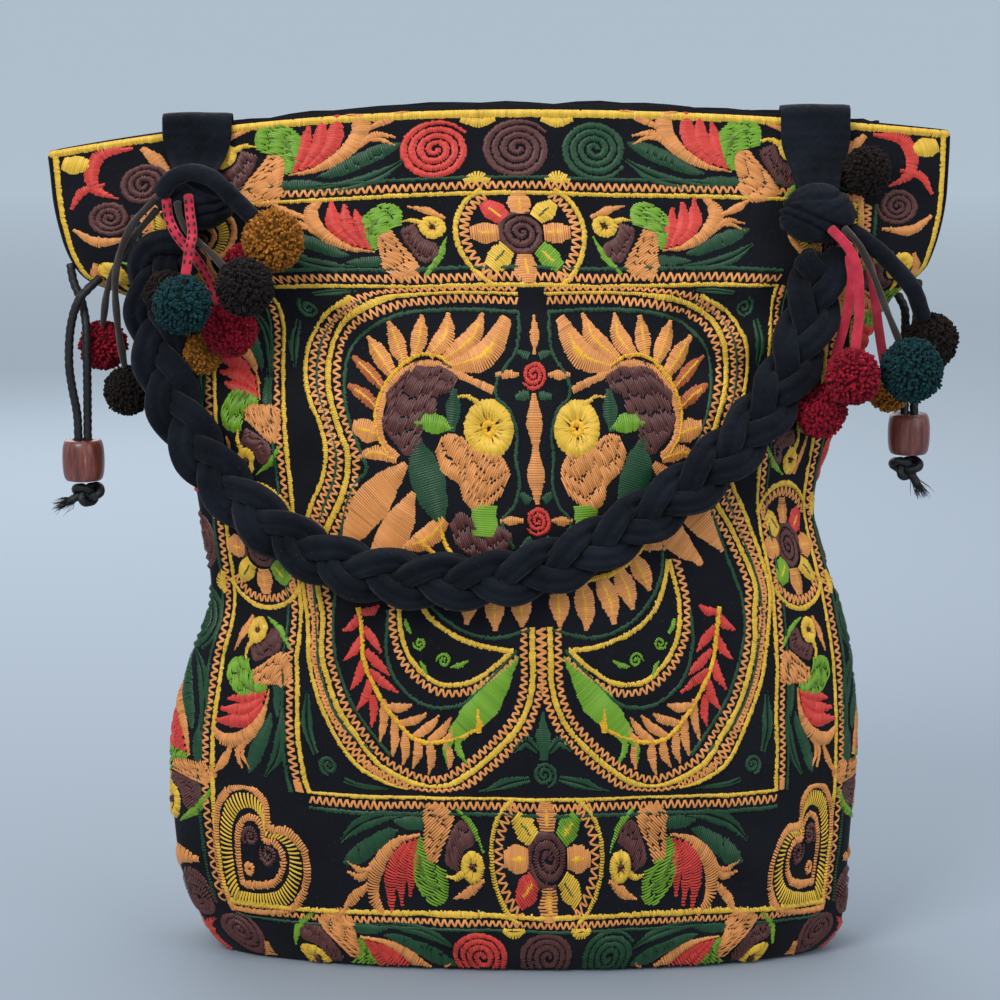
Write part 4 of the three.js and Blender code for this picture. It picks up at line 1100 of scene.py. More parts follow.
class Needle:
    """Lays stitches on the flat panel. Each is a start, an end, a height, a width and a shade."""

    ragged = 0.2  # how unevenly stitches end

    def __init__(self, sizes, seed):
        self.rng = np.random.default_rng(seed)
        self.pitch = sizes["stitch_pitch"]
        self.height = sizes["stitch_height"]
        self.stitches = {}
        self.moved(np.eye(2), (0, 0))

    def moved(self, matrix, offset):
        """Places what is sewn next by a matrix and an offset of the flat panel."""
        self.matrix = np.array(matrix, float)
        self.offset = np.array(offset, float)
        self.scale = math.sqrt(abs(np.linalg.det(self.matrix)))

    def place(self, points):
        """Places of a motif as places of the flat panel."""
        return np.asarray(points, float) @ self.matrix.T + self.offset

    def add(self, thread, starts, ends, height, width):
        """Adds stitches of one thread from their starts to their ends."""
        starts, ends = settled(starts), settled(ends)
        count = len(starts)
        shade = np.clip(self.rng.normal(0.52, 0.13, count), 0.1, 0.85)
        lift = np.full(count, self.height * height)
        rows = np.column_stack([starts, ends, lift, np.full(count, width), shade])
        self.stitches.setdefault(thread, []).append(rows)

    def track(self, points, widths):
        """A curve's points, its directions along and across, and half its width at each point."""
        line = spline(self.place(points), self.pitch)
        along = unit(np.gradient(line, axis=0))
        across = np.stack([-along[:, 1], along[:, 0]], axis=1)
        stops = np.linspace(0, 1, len(widths))
        half = np.interp(np.linspace(0, 1, len(line)), stops, widths) / 2
        half = np.convolve(np.pad(half, 2, mode="edge"), np.ones(5) / 5, mode="valid")
        return line, along, across, half[:, None] * self.scale

    def satin(self, thread, points, widths, height=1.0):
        """Stitches straight across a curve, with widths along it."""
        line, _, across, half = self.track(points, widths)
        uneven = self.rng.normal(0, self.ragged, (2, len(half), 1))
        keep = half[:, 0] > 0.35
        near = line - across * (half + uneven[0])
        far = line + across * (half + uneven[1])
        self.add(thread, near[keep], far[keep], height, self.pitch * 0.96)

    def leaf(self, thread, points, widths, height=1.0):
        """Stitches from a middle vein to both edges, leaning to the tip."""
        line, along, across, half = self.track(points, widths)
        keep = half[:, 0] > 0.6
        for way in (-1, 1):
            reach = half + self.rng.normal(0, self.ragged, half.shape)
            start = line + across * way * 0.3
            end = line + (across * way + along * 0.5) * reach
            self.add(thread, start[keep], end[keep], height, self.pitch * 0.96)

    def fill(self, thread, outline, angle=0.0, height=1.0):
        """Parallel stitches inside a closed outline, along an angle in degrees."""
        edge = spline(self.place([*outline, outline[0]]), 1.0)
        turn = math.radians(angle)
        way = unit(self.matrix @ np.array([math.cos(turn), math.sin(turn)]))
        side = np.array([-way[1], way[0]])
        along, level = edge @ way, edge @ side
        starts, ends = [], []
        for row in np.arange(level.min() + self.pitch / 2, level.max(), self.pitch):
            before, after = level[:-1] - row, level[1:] - row
            crossed = np.nonzero(before * after < 0)[0]
            share = before[crossed] / (before[crossed] - after[crossed])
            places = np.sort(along[crossed] + share * (along[crossed + 1] - along[crossed]))
            for first, last in zip(places[::2], places[1::2]):
                cuts = np.arange(first + self.rng.uniform(5, 9), last - 2.5, 9)
                uneven = self.rng.normal(0, self.ragged, 2)
                stops = [first + uneven[0], *cuts, last + uneven[1]]
                for here, there in zip(stops, stops[1:]):
                    starts.append(way * here + side * row)
                    ends.append(way * there + side * row)
        if starts:
            self.add(thread, np.array(starts), np.array(ends), height, self.pitch * 0.94)

    def ring(self, thread, centre, radii, height=1.0):
        """Stitches that radiate from a small middle. radii are the outer and the inner one."""
        middle = self.place([centre])[0]
        outer, inner = radii[0] * self.scale, radii[1] * self.scale
        count = int(2 * math.pi * outer / self.pitch)
        turn = np.arange(count) / count * 2 * math.pi
        way = np.stack([np.cos(turn), np.sin(turn)], axis=1)
        near = np.maximum(0.3, inner + self.rng.uniform(0, outer * 0.3, count))
        far = outer + self.rng.normal(0, self.ragged, count)
        self.add(thread, middle + way * near[:, None], middle + way * far[:, None], height, self.pitch)

    def spiral(self, thread, centre, form, height=1.0):
        """A satin spiral. form is its radius, turns, width and way round."""
        radius, turns, width, way = form
        start = width * 0.35
        t = np.linspace(0, 1, 14 * int(turns + 1))
        r = start + (radius - start - width / 2) * t
        angle = way * 2 * math.pi * turns * t
        points = np.stack([centre[0] + r * np.cos(angle), centre[1] + r * np.sin(angle)], axis=1)
        self.satin(thread, points, [width * 0.8] + [width] * 8 + [width * 0.5], height)

    def zigzag(self, thread, points, form, height=0.7):
        """Slanting stitches to and fro along a curve. form is their swing and their period."""
        swing, period = form
        line = spline(self.place(points), period / 2)
        along = unit(np.gradient(line, axis=0))
        across = np.stack([-along[:, 1], along[:, 0]], axis=1)
        way = np.where(np.arange(len(line)) % 2 == 0, 1, -1)[:, None]
        ends = line + across * way * swing / 2
        self.add(thread, ends[:-1], ends[1:], height, 1.15)

    def comb(self, thread, outline, middle, shares, height=0.7):
        """Single stitches towards a middle, between two shares of the way from it to an outline."""
        edge = spline(self.place([*outline, outline[0]]), 2.2)
        centre = self.place([middle])[0]
        starts, ends = (centre + (edge - centre) * share for share in shares)
        self.add(thread, starts, ends, height, 1.0)


def shifted(points, by):
    """A curve moved sideways by a distance."""
    line = spline(points, 4)
    along = unit(np.gradient(line, axis=0))
    return line + np.stack([-along[:, 1], along[:, 0]], axis=1) * by


def sew(needle, rows):
    """Sews the rows of a chart: way of sewing, thread, places, form and height."""
    for kind, thread, places, form, height in rows:
        getattr(needle, kind)(thread, places, form, height)


# A flower with a gold head, a brown and a peach lobe, a lime leaf, a coral wing with a peach edge
# and green leaves. x runs from the head to the wing and y inward on the panel.
BLOOM = (
    ("fill", "green", ((6, 12), (14, 6), (24, 0), (36, -5), (44, -4), (38, 3), (26, 9), (14, 13)), 70, 0.7),
    ("fill", "green", ((-9, 12), (4, 13), (10, 16), (-2, 19), (-9, 17)), 80, 0.7),
    ("leaf", "green", ((2, 19), (18, 18), (34, 13), (46, 5)), (1, 7, 7, 1), 0.7),
    ("satin", "lime", ((-46, 3), (-40, 14), (-31, 23)), (1, 5, 2), 0.9),
    ("fill", "mauve", ((-30, -7), (-22, -2), (-24, 7), (-31, 17), (-38, 15), (-41, 7), (-33, 2)), 60, 0.9),
    ("fill", "peach", (
        (-17, -2), (-10, -2), (-8, 6), (-9, 13), (-8, 18), (-14, 26), (-22, 25), (-29, 20), (-27, 14),
        (-21, 5)), -35, 1.0),
    ("fill", "lime", (
        (-23, -6), (-24, -13), (-22, -19), (-15, -21), (-7, -17), (-1, -9), (-1, 2), (-4, 8), (-8, 9),
        (-11, 0),
        (-17, -3)), 20, 1.1),
    ("satin", "olive", ((-21, -13), (-13, -12), (-7, -5), (-4, 5)), (1, 3.5, 4, 1), 1.3),
    ("satin", "coral", ((3, 6), (12, -5), (14, -24)), (3, 8, 9, 2), 1.0),
    ("satin", "coral", ((-1, 7), (6, -5), (7, -21)), (3, 8, 8, 2), 1.1),
    ("satin", "coral", ((-4, 8), (-1, -4), (1, -17)), (3, 8, 7, 2), 1.2),
    ("satin", "peach", ((-6, 10), (6, 7.5), (17, 1), (24, -9), (25, -18), (19, -26)), (1, 3.5, 7, 9, 9, 3),
        1.2),
    ("satin", "peach", ((29, -14), (38, -19), (46.5, -26)), (3, 6, 1), 1.0),
    ("satin", "peach", ((24, -3), (32, -10), (41, -8)), (3, 5, 1), 1.0),
    ("satin", "peach", ((27, -6), (34, -7), (41, -3)), (2, 3, 1), 1.0),
    ("satin", "peach", ((-46, -10), (-37, -15), (-27, -18)), (2, 6, 1), 1.0),
    ("satin", "gold", ((-33, -7), (-28, -9), (-23, -8)), (4, 3, 1), 1.2),
    ("ring", "gold", (-39, -4), (7.5, 1.2), 1.35),
    ("ring", "mauve", (-39, -4), (1.5, 0.0), 1.6),
)
CORNER = (
    ("spiral", "mauve", (45, 30), (14, 3.2, 3.2, 1), 1.0),
    ("spiral", "mauve", (27, 47), (12.5, 3.0, 3.1, -1), 1.0),
    ("satin", "gold", ((7, 10), (13, 12), (19, 14)), (8, 13.5, 7), 1.0),
    ("satin", "coral", ((40, 7), (25, 8), (20, 19), (22, 29), (32, 36)), (2, 8, 8, 6, 1), 1.0),
    ("satin", "coral", ((26, 27), (15, 29), (9, 38)), (2, 5.5, 2), 1.0),
    ("satin", "peach", ((45, 8), (58, 25)), (3, 8, 2), 1.0),
    ("satin", "peach", ((8, 52), (18, 62), (34, 62)), (2, 8, 2), 1.0),
)
OUTER_MIDDLE = (
    ("spiral", "coral", (-38, 23), (18, 3.9, 3.4, 1), 1.0),
    ("spiral", "mauve", (0, 23), (18, 3.9, 3.4, 1), 1.0),
    ("spiral", "green", (38, 23), (18, 3.9, 3.4, -1), 1.0),
    ("satin", "gold", ((-26.5, 6), (-19, 8), (-11.5, 6)), (3, 7, 3), 1.0),
    ("satin", "gold", ((11.5, 6), (19, 8), (26.5, 6)), (3, 7, 3), 1.0),
    ("satin", "gold", ((-24.5, 40), (-19, 38), (-13.5, 40)), (3, 8, 3), 1.0),
    ("satin", "gold", ((13.5, 40), (19, 38), (24.5, 40)), (3, 8, 3), 1.0),
)
HEART = (
    (-21, -25), (-22, -6), (-20, 12), (-13, 23), (-3, 25), (4, 18), (5, 8), (14, 7), (21, 0), (22, -11),
    (14, -21),
    (-2, -25),
)

# The left half of the middle square, in millimetres from the middle of its upper edge.
OUTER_LINE = (
    (-88, 10), (-104, 19), (-113, 31), (-115.5, 43), (-114, 57), (-108, 71), (-106, 82), (-109, 94),
    (-119, 112),
    (-125, 142), (-121, 175), (-117, 195), (-111, 211), (-97.5, 233), (-73, 246),
)
ARCH = (
    (-7, 8), (-33, 7), (-52, 8), (-68.5, 10), (-83, 14.5), (-95, 22), (-101, 31), (-103.5, 43), (-103, 56),
    (-99, 71), (-95, 82), (-96.5, 94), (-102, 106), (-109, 117), (-117, 145), (-115, 159), (-114, 175),
    (-110, 191), (-104.5, 206), (-95, 220), (-84.5, 233), (-55, 243), (-16, 216), (-8, 203), (-5, 191),
    (-4.8, 175), (-4.8, 164),
)
INNER_LINE = (
    (-8, 17), (-24, 16), (-46, 16), (-66, 18), (-79, 23), (-89, 31), (-94, 40), (-95.5, 53), (-94.6, 63),
    (-90, 77), (-86, 90), (-93, 97), (-100, 112), (-102, 121), (-109, 158), (-109, 167), (-105, 183),
    (-99, 200),
    (-90, 214), (-79.5, 227),
)
COLUMN_LINE = (
    (-8, 17), (-8, 28), (-10, 37), (-15, 44), (-19, 51), (-19, 57), (-12.6, 63), (-9, 74), (-10, 82),
    (-9, 97),
    (-12.6, 106), (-18.4, 112), (-16, 120), (-13, 125),
)
# Petals of the upper fan: thread, base, middle and tip, the width, and the width of the tip.
PETALS = (
    ("peach", (-41, 43), (-24.5, 37), (-14, 20), 14.5, 6), ("peach", (-45, 40), (-31.5, 29), (-26, 18), 11,
        2),
    ("peach", (-53, 38), (-45, 28), (-43, 18), 10.5, 2), ("peach", (-60, 38), (-58, 28), (-56.5, 19), 9.3,
        2),
    ("peach", (-66, 41), (-70, 31), (-73, 22), 9.6, 2), ("peach", (-71.5, 47), (-78, 38), (-84, 30), 9.6,
        2),
    ("rust", (-76, 53), (-83.5, 46), (-91, 40), 7.3, 2), ("rust", (-78.5, 63), (-85.5, 57), (-93, 53), 7.3,
        2),
    ("peach", (-79, 74), (-86, 72), (-91, 71), 12, 6), ("peach", (-70.5, 85), (-81, 82), (-89, 84), 7.3, 2),
    ("peach", (-9.6, 145), (-10, 154), (-10, 163), 12, 2), ("peach", (-22, 142), (-24, 153), (-24, 165), 12,
        2),
    ("peach", (-33, 140), (-37, 151), (-39, 162), 12, 2), ("peach", (-43, 136), (-47, 146), (-49, 155), 12,
        2),
    ("peach", (-52, 130), (-56, 138), (-59, 146), 12, 2), ("peach", (-48, 112), (-58, 121), (-70, 126), 12,
        2),
)
HALF = (
    ("satin", "peach", ((-21, 54), (-38, 47), (-50, 42), (-62, 44), (-73, 53), (-78, 65), (-77, 77),
        (-70, 84)), (4, 4), 1.0),
    ("satin", "sun", ((-41, 43), (-50, 38), (-60, 38.5), (-70, 46), (-77, 56), (-80, 65), (-79, 75),
        (-75, 82)), (2, 2), 1.5),
    ("fill", "mauve", (
        (-58.6, 39.8), (-52, 43.5), (-45, 40.8), (-38, 47), (-42, 54.5), (-48, 57), (-50, 64), (-56, 69),
        (-58, 78),
        (-65, 83.2), (-72, 77), (-77, 69), (-74, 62), (-75.8, 56), (-69, 49.8), (-65, 45)), 118, 0.9),
    ("satin", "lime", ((-60, 68.5), (-51, 68.5), (-41.5, 71)), (3, 9.6, 9, 1), 1.15),
    ("satin", "green", ((-40.4, 54), (-41, 63), (-42, 72)), (3, 9.6, 3), 0.9),
    ("satin", "green", ((-60, 75), (-55.5, 94), (-50, 114)), (3, 15, 19, 16, 4), 0.8),
    ("fill", "peach", (
        (-50.9, 82), (-46, 74), (-38, 74), (-31, 79), (-20, 80.3), (-13.5, 90), (-17, 99), (-22, 104),
        (-30, 108.4),
        (-38, 103), (-40, 96), (-48, 90)), -62, 1.0),
    ("satin", "gold", ((-38, 57), (-33, 57), (-28, 60), (-24, 61)), (1, 2, 3, 4), 1.3),
    ("ring", "gold", (-23, 71), (12.9, 2.5), 1.45), ("ring", "sun", (-23, 71), (4, 0.5), 1.65),
    ("satin", "lime", ((-27, 105.5), (-27.7, 119)), (13.7, 13.7), 1.1),
    ("fill", "mauve", (
        (-46, 114), (-40, 108), (-34, 111), (-27, 117), (-19.5, 114), (-13.5, 120), (-18, 127), (-26, 132),
        (-36, 129),
        (-43, 123)), 75, 0.85),
    ("satin", "peach", ((-66, 87), (-85, 105), (-102, 128)), (3, 14, 19, 14, 3), 1.0),
    ("satin", "peach", ((-63, 100), (-74, 118), (-89, 134)), (3, 13, 17, 12, 3), 1.0),
    ("satin", "sun", ((-50.5, 111), (-48.5, 123), (-42, 132)), (2.5, 2.5), 1.4),
    ("satin", "sun", ((-9.6, 145), (-26, 141), (-42, 137), (-55, 128), (-63, 120)), (2.4, 2.4), 1.4),
    ("satin", "green", ((-6, 165), (-26, 169), (-42, 165), (-55, 156), (-66, 140), (-69, 125)), (2, 2),
        0.9),
    ("satin", "gold", ((-15, 175), (-30.5, 173), (-47, 167), (-59.5, 158), (-67.5, 143), (-71, 132)),
        (2.6, 2.6), 1.2),
    ("satin", "green", ((-80, 157), (-80, 175), (-73.5, 192), (-59, 202), (-43, 202), (-30, 192),
        (-13, 175)), (2, 2), 0.9),
    ("spiral", "lime", (-63, 172), (4, 1.5, 1.6, 1), 0.9), ("spiral", "lime", (-50, 180),
        (4.5, 1.5, 1.6, -1), 0.9),
    ("satin", "lime", ((-71, 161), (-70, 164), (-68, 167)), (1, 3.5, 1), 0.9),
    ("satin", "lime", ((-46, 183), (-42, 182), (-38, 180)), (1, 3.5, 1), 0.9),
    ("satin", "lime", ((-62, 181), (-60, 184), (-59, 187.5)), (1, 3.5, 1), 0.9),
    ("satin", "lime", ((-12, 178), (-27, 197), (-45, 217)), (1, 17.7, 9.6), 1.0),
    ("satin", "sun", ((-33, 203.5), (-33, 209), (-33, 214.5)), (3, 7, 3), 1.45),
    ("satin", "lime", ((-45, 217), (-50, 223), (-50, 230)), (4, 4, 1), 1.0),
    ("satin", "lime", ((-44, 218), (-43, 225), (-40, 230)), (4, 4, 1), 1.0),
    ("spiral", "green", (-112, 16), (6, 1.7, 2.2, 1), 0.8), ("spiral", "green", (-113, 234),
        (6, 1.7, 2.2, -1), 0.8),
    ("leaf", "green", ((-119, 22), (-122, 33), (-121, 46)), (3, 6, 1), 0.7),
    ("leaf", "green", ((-105, 8), (-96, 6), (-84, 5)), (3, 6, 1), 0.7),
    ("leaf", "green", ((-119, 228), (-122, 215), (-121, 198)), (3, 7, 1), 0.7),
    ("leaf", "green", ((-106, 241), (-96, 245), (-82, 248)), (3, 6, 1), 0.7),
)
CRESCENT = ((-15, 175), (-26, 184), (-39, 191), (-53, 191), (-66, 181), (-73, 167), (-74, 151),
    (-71.5, 132))
FEATHER = (
    (-95.5, 156), (-93.5, 167), (-91, 181), (-85, 195), (-76, 209), (-65, 219), (-53.5, 220), (-42, 217),
    (-32, 213),
)
# Barbs of the feather: base and tip.
CORAL_BARBS = (
    ((-94.6, 159), (-103, 167)), ((-93, 169), (-101, 181)), ((-91.5, 181), (-98, 195)),
    ((-88, 191), (-95, 205)),
    ((-87, 198), (-88, 213)), ((-93, 158), (-85, 154.5)), ((-92, 165.5), (-82.5, 176.5)),
    ((-90, 176.5), (-78, 187.5)), ((-88, 186), (-74, 196)),
)
PEACH_BARBS = (
    ((-81, 200), (-84, 220)), ((-76, 208), (-78, 227)), ((-71, 216), (-73, 231)), ((-64, 219), (-68, 233)),
    ((-58, 220), (-60, 236)), ((-50, 220), (-49, 233)), ((-79, 203), (-67, 202)),
    ((-72.5, 211), (-59.5, 206)),
    ((-66, 217), (-53, 207)), ((-58, 219), (-47, 208)), ((-50, 219), (-46, 213)),
)
MIDDLE = (
    ("satin", "peach", ((0, 19), (0, 28), (0, 37)), (1, 5.6, 1), 1.0),
    ("satin", "peach", ((0, 56), (0, 68), (0, 80), (0, 92), (0, 104)), (2, 9.6, 3.5, 11, 2), 1.0),
    ("spiral", "coral", (0, 47), (7.7, 2.4, 2.2, 1), 1.0), ("spiral", "coral", (0, 112), (8, 2.4, 2.2, 1),
        1.0),
    ("satin", "green", ((0, 205), (0, 218), (0, 228)), (1, 9, 5), 0.8),
    ("spiral", "green", (0, 236), (7.5, 2.2, 2.2, 1), 0.8),
)
MIDDLE_SIDE = (
    ("satin", "peach", ((-8, 47), (-13.5, 47), (-19, 47)), (1.5, 5.6, 1.5), 1.0),
    ("satin", "peach", ((-8, 112), (-13.5, 112), (-19, 112)), (1.5, 5.6, 1.5), 1.0),
    ("satin", "green", ((-3, 56), (-9, 57)), (4, 6, 2), 0.8), ("satin", "green", ((-3, 38), (-8, 36)),
        (4, 5, 2), 0.8),
    ("satin", "green", ((-4, 103), (-8, 100)), (4, 6, 2), 0.8), ("satin", "green", ((-4, 121), (-9, 125)),
        (4, 6, 2), 0.8),
    ("leaf", "green", ((-8, 238), (-20, 241), (-34, 248)), (3, 8, 1.5), 0.8),
    ("leaf", "green", ((-3, 224), (-9, 219), (-15, 224)), (3, 7, 1), 0.8),
)


def sew_flower(n, x, y):
    """The eight-petalled flower between two arcs with zigzag."""
    petals = ("peach", "gold", "peach", "lime", "peach", "gold", "peach", "coral")
    for k, thread in enumerate(petals):
        angle = k * math.pi / 4 - math.pi / 2
        c, s = math.cos(angle), math.sin(angle)
        n.satin(thread, [(x + c * r, y + s * r) for r in (11, 17, 23)], [8, 13, 6], 1.0)
        vein = "green" if thread == "gold" else "sun"
        n.satin(vein, [(x + c * r, y + s * r) for r in (13, 19)], [3, 6, 3], 1.3)
    n.spiral("mauve", (x, y), (12.8, 2.8, 3.2, 1), 1.1)
    for way in (-1, 1):
        arc = [(x + way * 30 * math.cos(a), y + 30 * math.sin(a)) for a in np.linspace(-0.95, 0.95, 7)]
        n.satin("gold", arc, [2.6, 2.6], 1.2)
        n.zigzag("peach", [(x + (px - x) * 0.87, y + (py - y) * 0.87) for px, py in arc], (5, 3.7))


def sew_heart(n):
    """A heart about its own middle: an outline, a comb, a small heart, two spirals and a flower."""
    n.satin("peach", [*HEART, HEART[0]], [3.7, 3.7], 1.2)
    n.comb("gold", HEART, (0, -2), (0.62, 0.9))
    n.satin("peach", [(x * 0.5, y * 0.5 - 1) for x, y in (*HEART, HEART[0])], [3, 3], 1.1)
    n.spiral("mauve", (-4, 4), (5, 1.6, 1.9, 1), 0.9)
    n.spiral("mauve", (4, -2), (5, 1.6, 1.9, -1), 0.9)
    n.ring("peach", (-6, -8), (2.6, 0.3), 1.0)


def sew_half(n):
    """The left half of the middle square."""
    n.satin("gold", OUTER_LINE, [2.4, 2.4], 1.1)
    n.zigzag("peach", shifted(OUTER_LINE, -3.6), (4.3, 3.7))
    between = [((a + c) / 2, (b + d) / 2) for (a, b), (c, d) in zip(OUTER_LINE, ARCH[4:])]
    n.satin("green", between, [2, 2], 0.8)
    n.satin("gold", ARCH, [3.2, 3.2], 1.3)
    for by in (-4.2, 4.2):
        n.zigzag("peach", shifted(ARCH, by), (4.3, 3.7))
    n.satin("green", INNER_LINE, [2, 2], 0.9)
    n.satin("green", COLUMN_LINE, [2, 2], 0.9)
    for thread, base, middle, tip, wide, blunt in PETALS:
        n.satin(thread, [base, middle, tip], [wide * 0.5, wide, wide * 0.85, blunt], 1.0)
        drop = tuple(np.multiply(middle, 0.45) + np.multiply(tip, 0.55))
        n.satin("sun", [base, middle, drop], [1.6, wide * 0.3, wide * 0.5, 2], 1.4)
    sew(n, HALF)
    n.satin("gold", CRESCENT, [2.6, 2.6], 1.2)
    n.zigzag("peach", shifted(CRESCENT, -4), (4.3, 3.7))
    for thread, barbs in (("coral", CORAL_BARBS), ("peach", PEACH_BARBS)):
        for base, tip in barbs:
            n.satin(thread, [base, tuple((np.array(base) + tip) / 2 + (1, 1)), tip], [3, 5.5, 4.5, 1], 1.0)
    n.satin("sun", FEATHER, [2.6, 2.6], 1.5)


def sew_frame(n, far, top, bottom):
    """The lines round a square: half its width, its top and its bottom."""
    corners = [(-far, top), (far, top), (far, bottom), (-far, bottom)]
    for start, end in zip(corners, corners[1:] + corners[:1]):
        out = unit(np.array([end[1] - start[1], start[0] - end[0]], float))
        line = np.linspace(start, end, 9)
        line = line + np.sin(np.arange(9) * 2.1)[:, None] * out * 0.6
        n.satin("gold", line, [2.6, 2.6], 1.1)
        n.zigzag("peach", line + out * 4.2, (4.3, 3.7))
        n.satin("green", line + out * 8.4, [2, 2], 0.8)


def sew_panel(sizes, seed):
    """The whole chart of one panel as stitches by thread."""
    n = Needle(sizes, seed)
    edge, foot = 220, 440
    # Each side of the panel as a matrix from (along, inward) and the middle of that edge.
    bands = (
        (((1, 0), (0, 1)), (0, 0)), (((1, 0), (0, -1)), (0, foot)), (((0, 1), (1, 0)), (-edge, edge)),
        (((0, -1), (1, 0)), (edge, edge)),
    )
    for matrix, start in bands:
        matrix, start = np.array(matrix, float), np.array(start, float)
        n.moved(matrix, start)
        sew(n, OUTER_MIDDLE)
        sew_flower(n, 0, 69)
        for way in (1, -1):
            n.moved(matrix @ np.diag([way, 1]), start + matrix @ (-way * 98, 23))
            sew(n, BLOOM)
            n.moved(matrix @ np.diag([way * 0.84, 0.84]), start + matrix @ (way * 73, 69))
            sew(n, BLOOM)
    corners = ((-edge, 0, 1, 1), (edge, 0, -1, 1), (-edge, foot, 1, -1), (edge, foot, -1, -1))
    for x, y, across, down in corners:
        n.moved(np.diag([across, down]), (x, y))
        sew(n, CORNER)
        n.moved(np.diag([across, down]), (x + across * 68, y + down * 69))
        sew_heart(n)
    n.moved(np.eye(2), (0, 0))
    sew_frame(n, 127, 94, 346)
    sew_frame(n, 173, 47, 392)
    for way in (1, -1):
        n.moved([[way, 0], [0, 0.985]], (0, 93))
        sew_half(n)
        sew(n, MIDDLE_SIDE)
    n.moved([[1, 0], [0, 0.985]], (0, 93))
    sew(n, MIDDLE)
    n.moved(np.eye(2), (0, 0))
    n.satin("gold", [(-219, 2.6), (-110, 2.6), (0, 2.6), (110, 2.6), (219, 2.6)], [5, 5], 1.6)
    for way in (-1, 1):
        n.satin("gold", [(way * 217, 3), (way * 217, 60), (way * 217, 424)], [3.4, 3, 2.6], 1.2)
    return {thread: np.vstack(rows) for thread, rows in n.stitches.items()}


STITCH_SPAN = 6.5  # the longest stretch of a stitch between two of its points
CHART_END = 417.5  # stitches stop here, above the fold of the hem


def stitch_mesh(cloth, rows):
    """Points, faces and shades of stitches: each a low ridge that arches over the cloth."""
    rows = rows[rows[:, [1, 3]].min(axis=1) < CHART_END].copy()
    for here, there in ((0, 2), (2, 0)):
        run = rows[:, here + 1] - rows[:, there + 1]
        past = rows[:, here + 1] > CHART_END
        share = np.where(past, (CHART_END - rows[:, there + 1]) / np.where(past, run, 1), 1)[:, None]
        stay = rows[:, there:there + 2]
        rows[:, here:here + 2] = stay + (rows[:, here:here + 2] - stay) * share
    rows[:, [1, 3]] = np.maximum(rows[:, [1, 3]], 0.2)
    rows[:, [0, 2]] = np.clip(rows[:, [0, 2]], 0.4 - cloth.half, cloth.half - 0.4)
    reach = np.linalg.norm(rows[:, 2:4] - rows[:, 0:2], axis=1)
    rows, reach = rows[reach > 0.5], reach[reach > 0.5]
    spans = np.clip(np.ceil(reach / STITCH_SPAN).astype(int) + 1, 2, 7)
    points, faces, shades, base = [], [], [], 0
    for span in np.unique(spans):
        part = rows[spans == span]
        t = np.linspace(0, 1, span + 1)[None, :, None]
        line = part[:, None, 0:2] * (1 - t) + part[:, None, 2:4] * t
        way = unit(part[:, 2:4] - part[:, 0:2])
        across = np.stack([-way[:, 1], way[:, 0]], axis=1)[:, None, None]
        offset = np.array([-0.5, 0, 0.5])[None, None, :, None] * part[:, 5][:, None, None, None]
        uv = line[:, :, None] + across * offset
        run = t[:, :, 0]
        arch = np.minimum(1, np.minimum(run, 1 - run) * 7) ** 0.6
        lift = arch[:, :, None] * part[:, 4][:, None, None]
        ridge = np.array([-0.16, 0.12, -0.16])[None, None]
        height = np.where(lift > 0.01, lift + ridge * np.minimum(1, part[:, 5])[:, None, None], -0.12)
        height = np.broadcast_to(height, uv.shape[:3])
        points.append(cloth.at(uv[..., 0], uv[..., 1], height).reshape(-1, 3))
        per = (span + 1) * 3
        pattern = grid_quads(span + 1, 3)
        index = pattern[None] + (np.arange(len(part)) * per)[:, None, None] + base
        faces.append(index.reshape(-1, 4))
        shades.append(np.repeat(part[:, 6], per))
        base += len(part) * per
    return np.vstack(points), np.vstack(faces), np.concatenate(shades)


def build_embroidery(side, sizes):
    """All the stitches of a panel, one piece for each thread."""
    cloth = cloth_of(side)
    name = "front" if side < 0 else "back"
    if side > 0:
        sizes = {**sizes, "stitch_pitch": sizes["stitch_pitch"] * 1.4}
    chart = sew_panel(sizes, 40 + side)
    for thread, rows in chart.items():
        points, faces, shades = stitch_mesh(cloth, rows)
        if side > 0:
            faces = faces[:, ::-1]
        make_piece("embroidery_" + name + "_" + thread, points, faces, finish_of(thread), (), shades)


# Handle.


